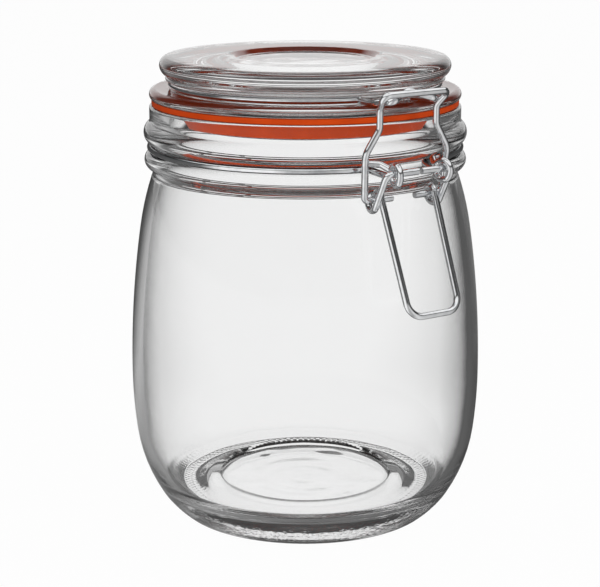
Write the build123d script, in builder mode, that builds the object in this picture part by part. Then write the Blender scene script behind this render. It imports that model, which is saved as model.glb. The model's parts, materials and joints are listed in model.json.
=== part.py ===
"""Clip-top glass jar: glass body and lid, rubber gasket and a four-wire bail closure.

Frame: +Z up, origin at the middle of the foot's resting plane, clasp on -Y, hinge on +Y,
mid-plane of the closure on X = 0. All sizes in millimetres.
"""
import os
from math import atan2, cos, degrees, hypot, radians, sin, sqrt

from build123d import *

os.makedirs("parts", exist_ok=True)

# ---------------------------------------------------------------- driving dimensions
# Glass body
BODY_RADIUS = 54.2           # widest place of the body
WAIST_HEIGHT = 44.0          # height of the widest place
RIM_HEIGHT = 127.0           # top of the jar's rim
WALL = 3.3                   # glass thickness of the body
FOOT_INSET = 14.0            # resting ring inside the widest place
FOOT_WIDTH = 3.6             # width of the resting ring
FLANK_HEIGHT = 26.0          # where the gentle lower curve turns into the haunch
FLANK_INSET = 1.1
HEEL_HEIGHT = 6.7            # where the haunch turns into the heel
HEEL_INSET = 7.9
CHEST_RISE = 18.0            # where the gentle upper curve turns into the shoulder, below the neck
CHEST_INSET = 3.5
FLOOR_HEIGHT = 9.0           # inside floor
CORNER_HEIGHT = 14.0         # where the inside turns from the haunch into the floor's round corner
CORNER_INSET = 7.9
FLOOR_CORNER = 0.5           # end of that corner above the floor
FLOOR_CORNER_LAP = 0.6       # and outside the resting ring
FLOOR_STEP = 0.7             # shallow round recess in the inside floor
FLOOR_LEDGE = 9.3            # width of the floor outside that recess
PUNT_HEIGHT = 3.6            # hollow under the foot
PUNT_SLOPE = 5.6             # width of the slope into the hollow

# Glass neck: radii in from the body, heights down from the rim
RIM_INSET = 6.9              # rim inside the widest place
RIM_WIDTH = 5.8              # rim's width, from the mouth
RIM_ROUNDING = 0.8
BEAD_OVERHANG = 1.7          # upper bead beyond the rim
BEAD_DROP = 9.2              # crest of the upper bead
BEAD_HALF_HEIGHT = 4.2       # upper bead, from its crest to the straight rim
LOWER_BEAD_OVERHANG = 1.6
LOWER_BEAD_DROP = 15.6
NECK_WIRE_DROP = 12.7        # middle of the groove between the beads
NECK_WIRE_INSET = 0.1        # middle of the wire inside the rim
GROOVE_LIP = 0.9             # depth of the round groove that the wire lies in
GROOVE_PLAY = 0.2            # above and below the wire
SHOULDER_DROP = 19.0         # where the body meets the neck
SHOULDER_INSET = 1.3         # that place inside the rim
NECK_INNER_RISE = 3.0        # bottom of the straight mouth above the shoulder

# Wires
WIRE = 2.0                   # wire diameter of all four wires
WIRE_PLAY = 0.05             # clearance between a wire and the groove it lies in
EYE_PLAY = 0.7               # between an axle and the eye it runs in, across both
EYE_GAP = 0.2                # between the axle and the top of the eye, where the eye is pulled down
EYE_SPLAY = 12.0             # degrees that an eye opens away from the mid-plane
EYE_BACKSET = 3.2            # front eyes inside the lever's short arms
EYE_ROOT = 4.1               # where the ring turns out to an eye, outside the eye
EYE_LEG_BEND = 1.3
ROOT_RUN = 2.4               # straight run of a ring's end before it turns out
ROOT_BEND = 2.0
TAIL_START = (1.0, 5.9)      # first corner of the cut end, across from the eye and in from the axle
TAIL_END = (3.9, 7.6)
TAIL_RISE = 0.3              # the cut end lies on the wire and lifts a little
TAIL_BEND = 1.2
INNER_ROOT = 3.0             # where the back of the ring turns out to the rear eyes
SIDE_PLAY = 0.15             # between wires that run side by side
HANDLE_BEND = 4.5            # lower corners of the handle
AXLE_BEND = 1.8              # from an axle end into a short arm

# Rubber gasket: a wide flat ring whose inner part is turned down by the lid's rib
GASKET_THICKNESS = 2.0
GASKET_SETBACK = 0.7         # its edge inside the rim's
GASKET_FOLD = 0.5            # fold inside the mouth's edge
GASKET_SKIRT = 5.8           # width of the part that is turned down
GASKET_SKIRT_DROP = 6.6      # and how far it reaches down

# Glass lid: radii in from the flange
LID_HEIGHT = 12.5            # gasket to top of the lid
FLANGE_LAP = 0.65            # flange beyond the gasket
FLANGE_THICKNESS = 3.0
FLANGE_WAIST_RISE = 1.1      # widest place of the flange, above its underside
FLANGE_UNDERCUT = 0.5        # rounding of the flange's lower edge
FLANGE_CROWN = 2.2           # rounding of its upper edge
GROOVE_DEPTH = 7.8           # lid wire's groove, in from the flange
RIDGE_INSET = 4.95
RIDGE_THICKNESS = 1.4
RIDGE_PLAY = 0.2             # between the lid wire and the ridge over it
DISC_INSET = 3.18
DISC_WAIST_DROP = 2.8        # widest place of the top disc, below its top
DISC_HOLLOW = (0.9, 0.5)     # bow of the disc's underside, in and down
DISC_SHOULDER = (0.55, 1.08) # middle of the disc's rounded edge, in and down
DISC_ROUNDING = 2.0
RECESS_RADIUS = 20.9         # round recess in the lid's top
RECESS_DEPTH = 0.9
RECESS_SLOPE = 0.7
DISH_DEPTH = 13.1            # hollow under the lid, from the rib's bottom
DISH_SIDE = 5.0              # width of the hollow's rounded side
DISH_BOW = 1.4               # bow of that side
RIB_OVERREACH = 0.6          # rib below the gasket's turned-down edge
RIB_WIDTH = 4.0              # rib that the gasket is stretched over
RIB_ROUNDING = 1.2
RIB_PLAY = 0.15              # between rib and gasket

# Lever: two coils, two short arms to its axle, and the handle
COIL_PLAY = 0.5              # between a coil and the link's pin in it, across both
COIL_CLEARANCE = 0.3         # between the coils and the jar's shoulder
ARM_LEAD = 7.4               # axle in front of the coils
ARM_RISE = 8.7               # axle above the coils
AXLE_RISE = 0.1              # axle above the neck wire
HANDLE_OFFSET = 9.25         # plane of the handle's legs at the coils, from the mid-plane
HANDLE_TAPER = 0.4           # legs closer together at the handle's end
HANDLE_LEAD = 15.6           # end of the handle in front of the coils
HANDLE_DROP = 30.8           # end of the handle below the coils
STUB_GAP = 1.2               # between the lever's two axle ends

# Link: bar over the catch, two legs down to the pins in the coils
PIN_GAP = 0.15               # between a pin and the bottom of the coil that it pulls down on
PIN_END = 4.0                # inner end of a pin, from the mid-plane
PIN_BEND = 1.4
FOOT_PLAY = 0.2              # between the link's feet and the lever's short arms
LINK_SHOULDER = (0.8, 1.3, 4.9)   # widest place: out from the foot, in front of the coils, above the axle
LINK_WAIST_OFFSET = 9.9      # narrow place under the bar
LINK_WAIST_LEAD = 1.8        # in front of the coils
LINK_WAIST_RISE = 11.9       # bottom of the narrow place, above the axle
LINK_KNEE_DROP = 4.5         # top of the narrow place, below the bar
BAR_OVERHANG = 4.0           # ends of the bar outside the catch's feet
BAR_LEAD = 5.7               # bar in front of the coils
LINK_BENDS = [1.8, 3.0, 3.5, 5.0]

# Catch of the lid wire: its two feet lie under the link's bar, its arch stands behind the bar
CATCH_SETBACK = 1.65         # feet behind the bar's middle
CATCH_PLAY = 0.15            # bar above the feet
CATCH_FOOT_OFFSET = 7.4
CATCH_FOOT_RISE = 0.9        # feet above the ring
CATCH_FOOT_LEAD = 0.6        # outer corner of a foot, in front of its middle
CATCH_LEG_SPREAD = 1.7       # legs outside the feet where they cross the flange
CATCH_LEG_INSET = 0.35       # that place inside the flange's edge
CATCH_ROOT = 3.1             # where the ring turns out to a leg, outside the foot
CATCH_ROOT_RUN = 2.0
CATCH_ARCH_DEPTH = 4.1       # arch behind the bar
CATCH_ARCH_RISE = 0.2        # arch above the bar's middle
CATCH_BENDS = [2.0, 1.3, 3.0, 1.6]

# Hinge at the back
HINGE_STANDOFF = 6.8         # hinge pins behind the neck wire
HINGE_LEG_PLAY = 1.0         # lid wire's legs outside the rear eyes
HINGE_LEG_ROOT = 3.5         # where the ring turns out to a leg, outside the leg
HINGE_ROOT_RUN = 2.6
HINGE_PIN_END = 3.0          # inner end of a hinge pin, from the mid-plane
HINGE_BENDS = [2.2, 3.0, 1.5]

# ---------------------------------------------------------------- derived sizes
WIRE_R = WIRE / 2
RIM_RADIUS = BODY_RADIUS - RIM_INSET
MOUTH_RADIUS = RIM_RADIUS - RIM_WIDTH
SHOULDER_RADIUS = RIM_RADIUS - SHOULDER_INSET
SHOULDER_HEIGHT = RIM_HEIGHT - SHOULDER_DROP
NECK_WIRE_RADIUS = RIM_RADIUS - NECK_WIRE_INSET
NECK_WIRE_HEIGHT = RIM_HEIGHT - NECK_WIRE_DROP

GASKET_RADIUS = RIM_RADIUS - GASKET_SETBACK
GASKET_FOLD_RADIUS = MOUTH_RADIUS - GASKET_FOLD
GASKET_INNER_RADIUS = GASKET_FOLD_RADIUS - GASKET_SKIRT
GASKET_BOTTOM = RIM_HEIGHT - GASKET_SKIRT_DROP
SKIRT_RISE = GASKET_THICKNESS * hypot(GASKET_SKIRT, GASKET_SKIRT_DROP) / GASKET_SKIRT
UPPER_FOLD_RADIUS = GASKET_FOLD_RADIUS - (SKIRT_RISE - GASKET_THICKNESS) * GASKET_SKIRT / GASKET_SKIRT_DROP

LID_BOTTOM = RIM_HEIGHT + GASKET_THICKNESS
LID_TOP = LID_BOTTOM + LID_HEIGHT
FLANGE_RADIUS = GASKET_RADIUS + FLANGE_LAP
FLANGE_TOP = LID_BOTTOM + FLANGE_THICKNESS
GROOVE_RADIUS = FLANGE_RADIUS - GROOVE_DEPTH
LID_WIRE_RADIUS = GROOVE_RADIUS + WIRE_R + WIRE_PLAY
LID_WIRE_HEIGHT = FLANGE_TOP + WIRE_R + WIRE_PLAY

COIL_RADIUS = WIRE + COIL_PLAY
COIL_REACH = SHOULDER_RADIUS + COIL_CLEARANCE + WIRE_R + COIL_RADIUS
AXLE_REACH = COIL_REACH + ARM_LEAD
AXLE_HEIGHT = NECK_WIRE_HEIGHT + AXLE_RISE
COIL_HEIGHT = AXLE_HEIGHT - ARM_RISE
ARM_OFFSET = HANDLE_OFFSET + WIRE + SIDE_PLAY
EYE_RADIUS = WIRE + EYE_PLAY
EYE_SLACK = EYE_PLAY - EYE_GAP
EYE_OFFSET = ARM_OFFSET - EYE_BACKSET
EYE_ROOT_OFFSET = EYE_OFFSET + EYE_ROOT

CATCH_FOOT_HEIGHT = LID_WIRE_HEIGHT + CATCH_FOOT_RISE
BAR_HEIGHT = CATCH_FOOT_HEIGHT + WIRE + CATCH_PLAY
BAR_REACH = COIL_REACH + BAR_LEAD
CATCH_FOOT_REACH = BAR_REACH - CATCH_SETBACK
CATCH_ROOT_OFFSET = CATCH_FOOT_OFFSET + CATCH_ROOT

HINGE_REACH = NECK_WIRE_RADIUS + HINGE_STANDOFF
HINGE_HEIGHT = AXLE_HEIGHT
HINGE_LEG_OFFSET = EYE_OFFSET + WIRE + HINGE_LEG_PLAY
HINGE_ROOT_OFFSET = HINGE_LEG_OFFSET + HINGE_LEG_ROOT


def front(offset, reach, height):
    """Point of the closure, given across, out from the jar's axis and up."""
    return (offset, -reach, height)


def flipped(points):
    """The same path on the other side of the mid-plane."""
    return [(-x, y, z) for x, y, z in points]


def mirrored(points):
    """Whole path of a wire from the points of its right half, listed from the mid-plane outwards."""
    return flipped(points)[::-1] + list(points)


def angle_off_middle(offset, radius):
    """Degrees from the mid-plane to the place on a ring that is `offset` across."""
    return degrees(atan2(offset, sqrt(radius**2 - offset**2)))


def ring_end(radius, height, offset, run, rear):
    """End of a ring of wire and the corner where it turns away: the ring's own line runs on by `run`."""
    way = 1 if rear else -1
    depth = sqrt(radius**2 - offset**2)
    return [
        (offset, way * depth, height),
        (offset - run * depth / radius, way * (depth + run * offset / radius), height),
    ]


def eye_corners(plane_offset, reach, height, splay, rear):
    """Corners of a keyhole loop round a cross pin, from its upper leg round to its lower leg.

    The loop stands in a vertical plane that opens outward by `splay` degrees. Its two legs run
    side by side, one above the other, and its round end is an arc of three quarters of a turn.
    """
    way = 1 if rear else -1
    leg = WIRE_R + WIRE_PLAY
    entry = radians(135)
    corner_reach = EYE_RADIUS * cos(entry) - (EYE_RADIUS * sin(entry) - leg)
    local = [(corner_reach, leg)]
    steps = 6
    step = 2 * entry / steps
    for index in range(steps):
        angle = entry - (index + 0.5) * step
        local.append((EYE_RADIUS / cos(step / 2) * cos(angle), EYE_RADIUS / cos(step / 2) * sin(angle)))
    local.append((corner_reach, -leg))
    turn = radians(splay)
    return [
        (plane_offset + out * sin(turn), way * (reach + out * cos(turn)), height + up)
        for out, up in local
    ]


def wire_section(path):
    """Plane across the start of a wire's path."""
    return Plane(origin=path @ 0, z_dir=path % 0)


# ---------------------------------------------------------------- jar
# Outer outline, from the foot up; the neck has two beads with the wire groove between them.
foot_radius = BODY_RADIUS - FOOT_INSET
foot_inner_radius = foot_radius - FOOT_WIDTH
groove_radius = NECK_WIRE_RADIUS - WIRE_R - WIRE_PLAY
groove_half_height = WIRE_R + GROOVE_PLAY
bead_height = RIM_HEIGHT - BEAD_DROP
chest_height = SHOULDER_HEIGHT - CHEST_RISE
inner_radius = BODY_RADIUS - WALL
floor_recess_radius = foot_inner_radius - FLOOR_LEDGE
with BuildPart() as jar:
    with BuildSketch(Plane.XZ):
        with BuildLine():
            foot = Line((foot_inner_radius, 0), (foot_radius, 0))
            waist = (BODY_RADIUS, WAIST_HEIGHT)
            flank = TangentArc(waist, (BODY_RADIUS - FLANK_INSET, FLANK_HEIGHT), tangent=(0, -1))
            haunch = TangentArc(flank @ 1, (BODY_RADIUS - HEEL_INSET, HEEL_HEIGHT), tangent=flank % 1)
            TangentArc(haunch @ 1, foot @ 1, tangent=haunch % 1)
            chest = TangentArc(waist, (BODY_RADIUS - CHEST_INSET, chest_height), tangent=(0, 1))
            shoulder = TangentArc(chest @ 1, (SHOULDER_RADIUS, SHOULDER_HEIGHT), tangent=chest % 1)
            lower_bead = ThreePointArc(
                shoulder @ 1,
                (RIM_RADIUS + LOWER_BEAD_OVERHANG, RIM_HEIGHT - LOWER_BEAD_DROP),
                (groove_radius + GROOVE_LIP, NECK_WIRE_HEIGHT - groove_half_height),
            )
            groove = ThreePointArc(
                lower_bead @ 1,
                (groove_radius, NECK_WIRE_HEIGHT),
                (groove_radius + GROOVE_LIP, NECK_WIRE_HEIGHT + groove_half_height),
            )
            upper_bead = ThreePointArc(
                groove @ 1,
                (RIM_RADIUS + BEAD_OVERHANG, bead_height),
                (RIM_RADIUS, bead_height + BEAD_HALF_HEIGHT),
            )
            rim_wall = Line(upper_bead @ 1, (RIM_RADIUS, RIM_HEIGHT - RIM_ROUNDING))
            rim_edge = RadiusArc(rim_wall @ 1, (RIM_RADIUS - RIM_ROUNDING, RIM_HEIGHT), -RIM_ROUNDING)
            rim_top = Line(rim_edge @ 1, (MOUTH_RADIUS + RIM_ROUNDING, RIM_HEIGHT))
            mouth_edge = RadiusArc(rim_top @ 1, (MOUTH_RADIUS, RIM_HEIGHT - RIM_ROUNDING), -RIM_ROUNDING)
            mouth = Line(mouth_edge @ 1, (MOUTH_RADIUS, SHOULDER_HEIGHT + NECK_INNER_RISE))
            inner_waist = (inner_radius, WAIST_HEIGHT)
            inner_chest = TangentArc(
                inner_waist,
                (inner_radius - CHEST_INSET, chest_height),
                tangent=(0, 1),
            )
            TangentArc(inner_chest @ 1, mouth @ 1, tangent=inner_chest % 1)
            inner_flank = TangentArc(
                inner_waist,
                (inner_radius - FLANK_INSET, FLANK_HEIGHT),
                tangent=(0, -1),
            )
            inner_haunch = TangentArc(
                inner_flank @ 1,
                (BODY_RADIUS - CORNER_INSET, CORNER_HEIGHT),
                tangent=inner_flank % 1,
            )
            inner_corner = TangentArc(
                inner_haunch @ 1,
                (foot_radius + FLOOR_CORNER_LAP, FLOOR_HEIGHT + FLOOR_CORNER),
                tangent=inner_haunch % 1,
            )
            floor_ledge = Line(inner_corner @ 1, (floor_recess_radius, FLOOR_HEIGHT))
            floor_step = Line(
                floor_ledge @ 1,
                (floor_recess_radius - FLOOR_STEP, FLOOR_HEIGHT - FLOOR_STEP),
            )
            floor_middle = Line(floor_step @ 1, (0, FLOOR_HEIGHT - FLOOR_STEP))
            middle = Line(floor_middle @ 1, (0, PUNT_HEIGHT))
            punt = Line(middle @ 1, (foot_inner_radius - PUNT_SLOPE, PUNT_HEIGHT))
            Line(punt @ 1, foot @ 0)
        make_face()
    revolve(axis=Axis.Z)
jar.part.label = "jar"
export_step(jar.part, "parts/jar.step")

# ---------------------------------------------------------------- gasket
# Flat on the rim, then sloping down inside the mouth to the edge that grips the lid's rib.
with BuildPart() as gasket:
    with BuildSketch(Plane.XZ):
        with BuildLine():
            Polyline(
                (GASKET_RADIUS, RIM_HEIGHT),
                (GASKET_RADIUS, LID_BOTTOM),
                (UPPER_FOLD_RADIUS, LID_BOTTOM),
                (GASKET_INNER_RADIUS, GASKET_BOTTOM + SKIRT_RISE),
                (GASKET_INNER_RADIUS, GASKET_BOTTOM),
                (GASKET_FOLD_RADIUS, RIM_HEIGHT),
                close=True,
            )
        make_face()
    revolve(axis=Axis.Z)
gasket.part.label = "gasket"
export_step(gasket.part, "parts/gasket.step")

# ---------------------------------------------------------------- lid
# Flange on the gasket, groove of the lid wire under a ridge, and the top disc with its recess.
rib_radius = GASKET_INNER_RADIUS - RIB_PLAY
rib_bottom = GASKET_BOTTOM - RIB_OVERREACH
rib_root = GASKET_BOTTOM + SKIRT_RISE + RIB_PLAY
dish_radius = rib_radius - RIB_WIDTH
dish_top = rib_bottom + DISH_DEPTH
ridge_radius = FLANGE_RADIUS - RIDGE_INSET
ridge_bottom = LID_WIRE_HEIGHT + WIRE_R + WIRE_PLAY + RIDGE_PLAY
ridge_top = ridge_bottom + RIDGE_THICKNESS
ridge_round = RIDGE_THICKNESS / 2
disc_radius = FLANGE_RADIUS - DISC_INSET
disc_waist = LID_TOP - DISC_WAIST_DROP
with BuildPart() as lid:
    with BuildSketch(Plane.XZ):
        with BuildLine():
            rib = Line((dish_radius, rib_bottom), (rib_radius - RIB_ROUNDING, rib_bottom))
            rib_corner = RadiusArc(rib @ 1, (rib_radius, rib_bottom + RIB_ROUNDING), -RIB_ROUNDING)
            rib_side = Line(rib_corner @ 1, (rib_radius, rib_root))
            rib_slope = Line(rib_side @ 1, (UPPER_FOLD_RADIUS, LID_BOTTOM))
            flange_bottom = Line(rib_slope @ 1, (FLANGE_RADIUS - FLANGE_UNDERCUT, LID_BOTTOM))
            flange_edge = ThreePointArc(
                flange_bottom @ 1,
                (FLANGE_RADIUS, LID_BOTTOM + FLANGE_WAIST_RISE),
                (FLANGE_RADIUS - FLANGE_CROWN, FLANGE_TOP),
            )
            flange_top = Line(flange_edge @ 1, (GROOVE_RADIUS, FLANGE_TOP))
            wire_seat = Line(flange_top @ 1, (GROOVE_RADIUS, ridge_bottom))
            ridge_under = Line(wire_seat @ 1, (ridge_radius - ridge_round, ridge_bottom))
            ridge = ThreePointArc(
                ridge_under @ 1,
                (ridge_radius, ridge_bottom + ridge_round),
                (ridge_radius - ridge_round, ridge_top),
            )
            disc_under = ThreePointArc(
                ridge @ 1,
                (disc_radius - DISC_HOLLOW[0], (ridge_top + disc_waist) / 2 - DISC_HOLLOW[1]),
                (disc_radius, disc_waist),
            )
            disc_side = ThreePointArc(
                disc_under @ 1,
                (disc_radius - DISC_SHOULDER[0], LID_TOP - DISC_SHOULDER[1]),
                (disc_radius - DISC_ROUNDING, LID_TOP),
            )
            top = Line(disc_side @ 1, (RECESS_RADIUS + RECESS_SLOPE, LID_TOP))
            recess_wall = Line(top @ 1, (RECESS_RADIUS, LID_TOP - RECESS_DEPTH))
            recess = Line(recess_wall @ 1, (0, LID_TOP - RECESS_DEPTH))
            core = Line(recess @ 1, (0, dish_top))
            dish = Line(core @ 1, (dish_radius - DISH_SIDE, dish_top))
            ThreePointArc(
                dish @ 1,
                (dish_radius - DISH_BOW, (rib_bottom + dish_top) / 2 + DISH_BOW),
                rib @ 0,
            )
        make_face()
    revolve(axis=Axis.Z)
lid.part.label = "lid"
export_step(lid.part, "parts/lid.step")

# ---------------------------------------------------------------- neck wire
# A ring in the groove of the neck. Its two ends are the front eyes; two more eyes are looped into
# the ring at the back. The ring's spans and the eyes' paths meet end to end.
eye_round = EYE_RADIUS * 0.98
front_eye = eye_corners(EYE_OFFSET, AXLE_REACH, AXLE_HEIGHT - EYE_SLACK, EYE_SPLAY, rear=False)
rear_eye = eye_corners(EYE_OFFSET, HINGE_REACH, HINGE_HEIGHT - EYE_SLACK, EYE_SPLAY, rear=True)
eye_bends = [EYE_LEG_BEND] + [eye_round] * (len(front_eye) - 2) + [EYE_LEG_BEND]
all_bends = [ROOT_BEND] + eye_bends + [TAIL_BEND]
tail = [
    front(EYE_OFFSET + TAIL_START[0], AXLE_REACH - TAIL_START[1], NECK_WIRE_HEIGHT + WIRE),
    front(EYE_OFFSET + TAIL_END[0], AXLE_REACH - TAIL_END[1], NECK_WIRE_HEIGHT + WIRE + TAIL_RISE),
]
front_eye_path = ring_end(NECK_WIRE_RADIUS, NECK_WIRE_HEIGHT, EYE_ROOT_OFFSET, ROOT_RUN, rear=False)
front_eye_path += front_eye[::-1] + tail
inner_root = ring_end(NECK_WIRE_RADIUS, NECK_WIRE_HEIGHT, -INNER_ROOT, ROOT_RUN, rear=True)
rear_eye_path = ring_end(NECK_WIRE_RADIUS, NECK_WIRE_HEIGHT, EYE_ROOT_OFFSET, ROOT_RUN, rear=True)
rear_eye_path += rear_eye[::-1] + flipped(inner_root)[::-1]
root_angle = angle_off_middle(EYE_ROOT_OFFSET, NECK_WIRE_RADIUS)
inner_angle = angle_off_middle(INNER_ROOT, NECK_WIRE_RADIUS)
ring_spans = (
    (root_angle - 90, 180 - 2 * root_angle),
    (90 + root_angle, 180 - 2 * root_angle),
    (90 - inner_angle, 2 * inner_angle),
)
with BuildPart() as neck_wire:
    for start, span in ring_spans:
        with BuildLine(Plane.XY.offset(NECK_WIRE_HEIGHT)) as ring_line:
            CenterArc((0, 0), NECK_WIRE_RADIUS, start, span)
        with BuildSketch(wire_section(ring_line.line)):
            Circle(WIRE_R)
        sweep(path=ring_line.line)
    for points in (front_eye_path, flipped(front_eye_path), rear_eye_path, flipped(rear_eye_path)):
        with BuildLine() as eye_line:
            FilletPolyline(*points, radius=all_bends)
        with BuildSketch(wire_section(eye_line.line)):
            Circle(WIRE_R)
        sweep(path=eye_line.line)
neck_wire.part.label = "neck_wire"
export_step(neck_wire.part, "parts/neck_wire.step")

# ---------------------------------------------------------------- lid wire
# A ring in the lid's groove with the catch at the front and two hinge legs at the back.
catch_half = [
    front(0, BAR_REACH - CATCH_ARCH_DEPTH, BAR_HEIGHT + CATCH_ARCH_RISE),
    front(CATCH_FOOT_OFFSET, CATCH_FOOT_REACH + CATCH_FOOT_LEAD, CATCH_FOOT_HEIGHT),
    front(CATCH_FOOT_OFFSET + CATCH_LEG_SPREAD, FLANGE_RADIUS - CATCH_LEG_INSET, LID_WIRE_HEIGHT),
]
catch_half += ring_end(
    LID_WIRE_RADIUS, LID_WIRE_HEIGHT, CATCH_ROOT_OFFSET, CATCH_ROOT_RUN, rear=False
)[::-1]
catch_path = flipped(catch_half)[:0:-1] + catch_half
catch_bends = CATCH_BENDS[:0:-1] + CATCH_BENDS
hinge_path = ring_end(LID_WIRE_RADIUS, LID_WIRE_HEIGHT, HINGE_ROOT_OFFSET, HINGE_ROOT_RUN, rear=True)
hinge_path += [
    (HINGE_LEG_OFFSET, HINGE_REACH, LID_WIRE_HEIGHT),
    (HINGE_LEG_OFFSET, HINGE_REACH, HINGE_HEIGHT),
    (HINGE_PIN_END, HINGE_REACH, HINGE_HEIGHT),
]
catch_angle = angle_off_middle(CATCH_ROOT_OFFSET, LID_WIRE_RADIUS)
hinge_angle = angle_off_middle(HINGE_ROOT_OFFSET, LID_WIRE_RADIUS)
lid_ring_spans = (
    (catch_angle - 90, 180 - catch_angle - hinge_angle),
    (90 + hinge_angle, 180 - catch_angle - hinge_angle),
)
lid_wire_runs = (
    (catch_path, catch_bends),
    (hinge_path, HINGE_BENDS),
    (flipped(hinge_path), HINGE_BENDS),
)
with BuildPart() as lid_wire:
    for start, span in lid_ring_spans:
        with BuildLine(Plane.XY.offset(LID_WIRE_HEIGHT)) as ring_line:
            CenterArc((0, 0), LID_WIRE_RADIUS, start, span)
        with BuildSketch(wire_section(ring_line.line)):
            Circle(WIRE_R)
        sweep(path=ring_line.line)
    for points, bends in lid_wire_runs:
        with BuildLine() as run_line:
            FilletPolyline(*points, radius=bends)
        with BuildSketch(wire_section(run_line.line)):
            Circle(WIRE_R)
        sweep(path=run_line.line)
lid_wire.part.label = "lid_wire"
export_step(lid_wire.part, "parts/lid_wire.step")

# ---------------------------------------------------------------- lever
# Axle end, short arm down to the coil, once round the coil, leg of the handle, and the same mirrored.
arm_heading = degrees(atan2(-ARM_RISE, -ARM_LEAD) + atan2(COIL_RADIUS, hypot(ARM_LEAD, ARM_RISE)))
leg_heading = degrees(atan2(-HANDLE_DROP, HANDLE_LEAD))
coil_entry = arm_heading + 90
coil_turn = 360 - (leg_heading - arm_heading)
coil_steps = 6
coil_step = coil_turn / coil_steps
coil_corner = COIL_RADIUS / cos(radians(coil_step / 2))
coil_corners = []
for index in range(coil_steps):
    place = radians(coil_entry - (index + 0.5) * coil_step)
    across = ARM_OFFSET + (HANDLE_OFFSET - ARM_OFFSET) * (index + 0.5) / coil_steps
    reach = COIL_REACH + coil_corner * cos(place)
    coil_corners.append(front(across, reach, COIL_HEIGHT + coil_corner * sin(place)))
lever_half = [
    front(HANDLE_OFFSET - HANDLE_TAPER, COIL_REACH + HANDLE_LEAD, COIL_HEIGHT - HANDLE_DROP),
    *coil_corners[::-1],
    front(ARM_OFFSET, AXLE_REACH, AXLE_HEIGHT),
    front(STUB_GAP / 2, AXLE_REACH, AXLE_HEIGHT),
]
half_bends = [HANDLE_BEND] + [COIL_RADIUS * 0.98] * coil_steps + [AXLE_BEND]
with BuildPart() as lever:
    with BuildLine() as lever_line:
        FilletPolyline(*mirrored(lever_half), radius=half_bends[::-1] + half_bends)
    with BuildSketch(wire_section(lever_line.line)):
        Circle(WIRE_R)
    sweep(path=lever_line.line)
lever.part.label = "lever"
export_step(lever.part, "parts/lever.step")

# ---------------------------------------------------------------- link
# Bar, knee and waist, widest place, foot and pin of the right half, and the same mirrored.
foot_offset = ARM_OFFSET + WIRE + FOOT_PLAY
pin_height = COIL_HEIGHT + COIL_PLAY - PIN_GAP
waist_reach = COIL_REACH + LINK_WAIST_LEAD
link_half = [
    front(CATCH_FOOT_OFFSET + BAR_OVERHANG, BAR_REACH, BAR_HEIGHT),
    front(LINK_WAIST_OFFSET, waist_reach, BAR_HEIGHT - LINK_KNEE_DROP),
    front(LINK_WAIST_OFFSET, waist_reach, AXLE_HEIGHT + LINK_WAIST_RISE),
    front(foot_offset + LINK_SHOULDER[0], COIL_REACH + LINK_SHOULDER[1], AXLE_HEIGHT + LINK_SHOULDER[2]),
    front(foot_offset, COIL_REACH, pin_height),
    front(PIN_END, COIL_REACH, pin_height),
]
link_bends = LINK_BENDS + [PIN_BEND]
with BuildPart() as link:
    with BuildLine() as link_line:
        FilletPolyline(*mirrored(link_half), radius=link_bends[::-1] + link_bends)
    with BuildSketch(wire_section(link_line.line)):
        Circle(WIRE_R)
    sweep(path=link_line.line)
link.part.label = "link"
export_step(link.part, "parts/link.step")
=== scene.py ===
"""Studio scene of a clip-top glass jar: turned glass, rubber ring and bent wire.

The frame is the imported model's own: metres, +Z up, the origin in the middle of the foot, the clasp
on -Y and the hinge on +Y. Every piece is built in place and rides on the body that carries it.
"""

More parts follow.
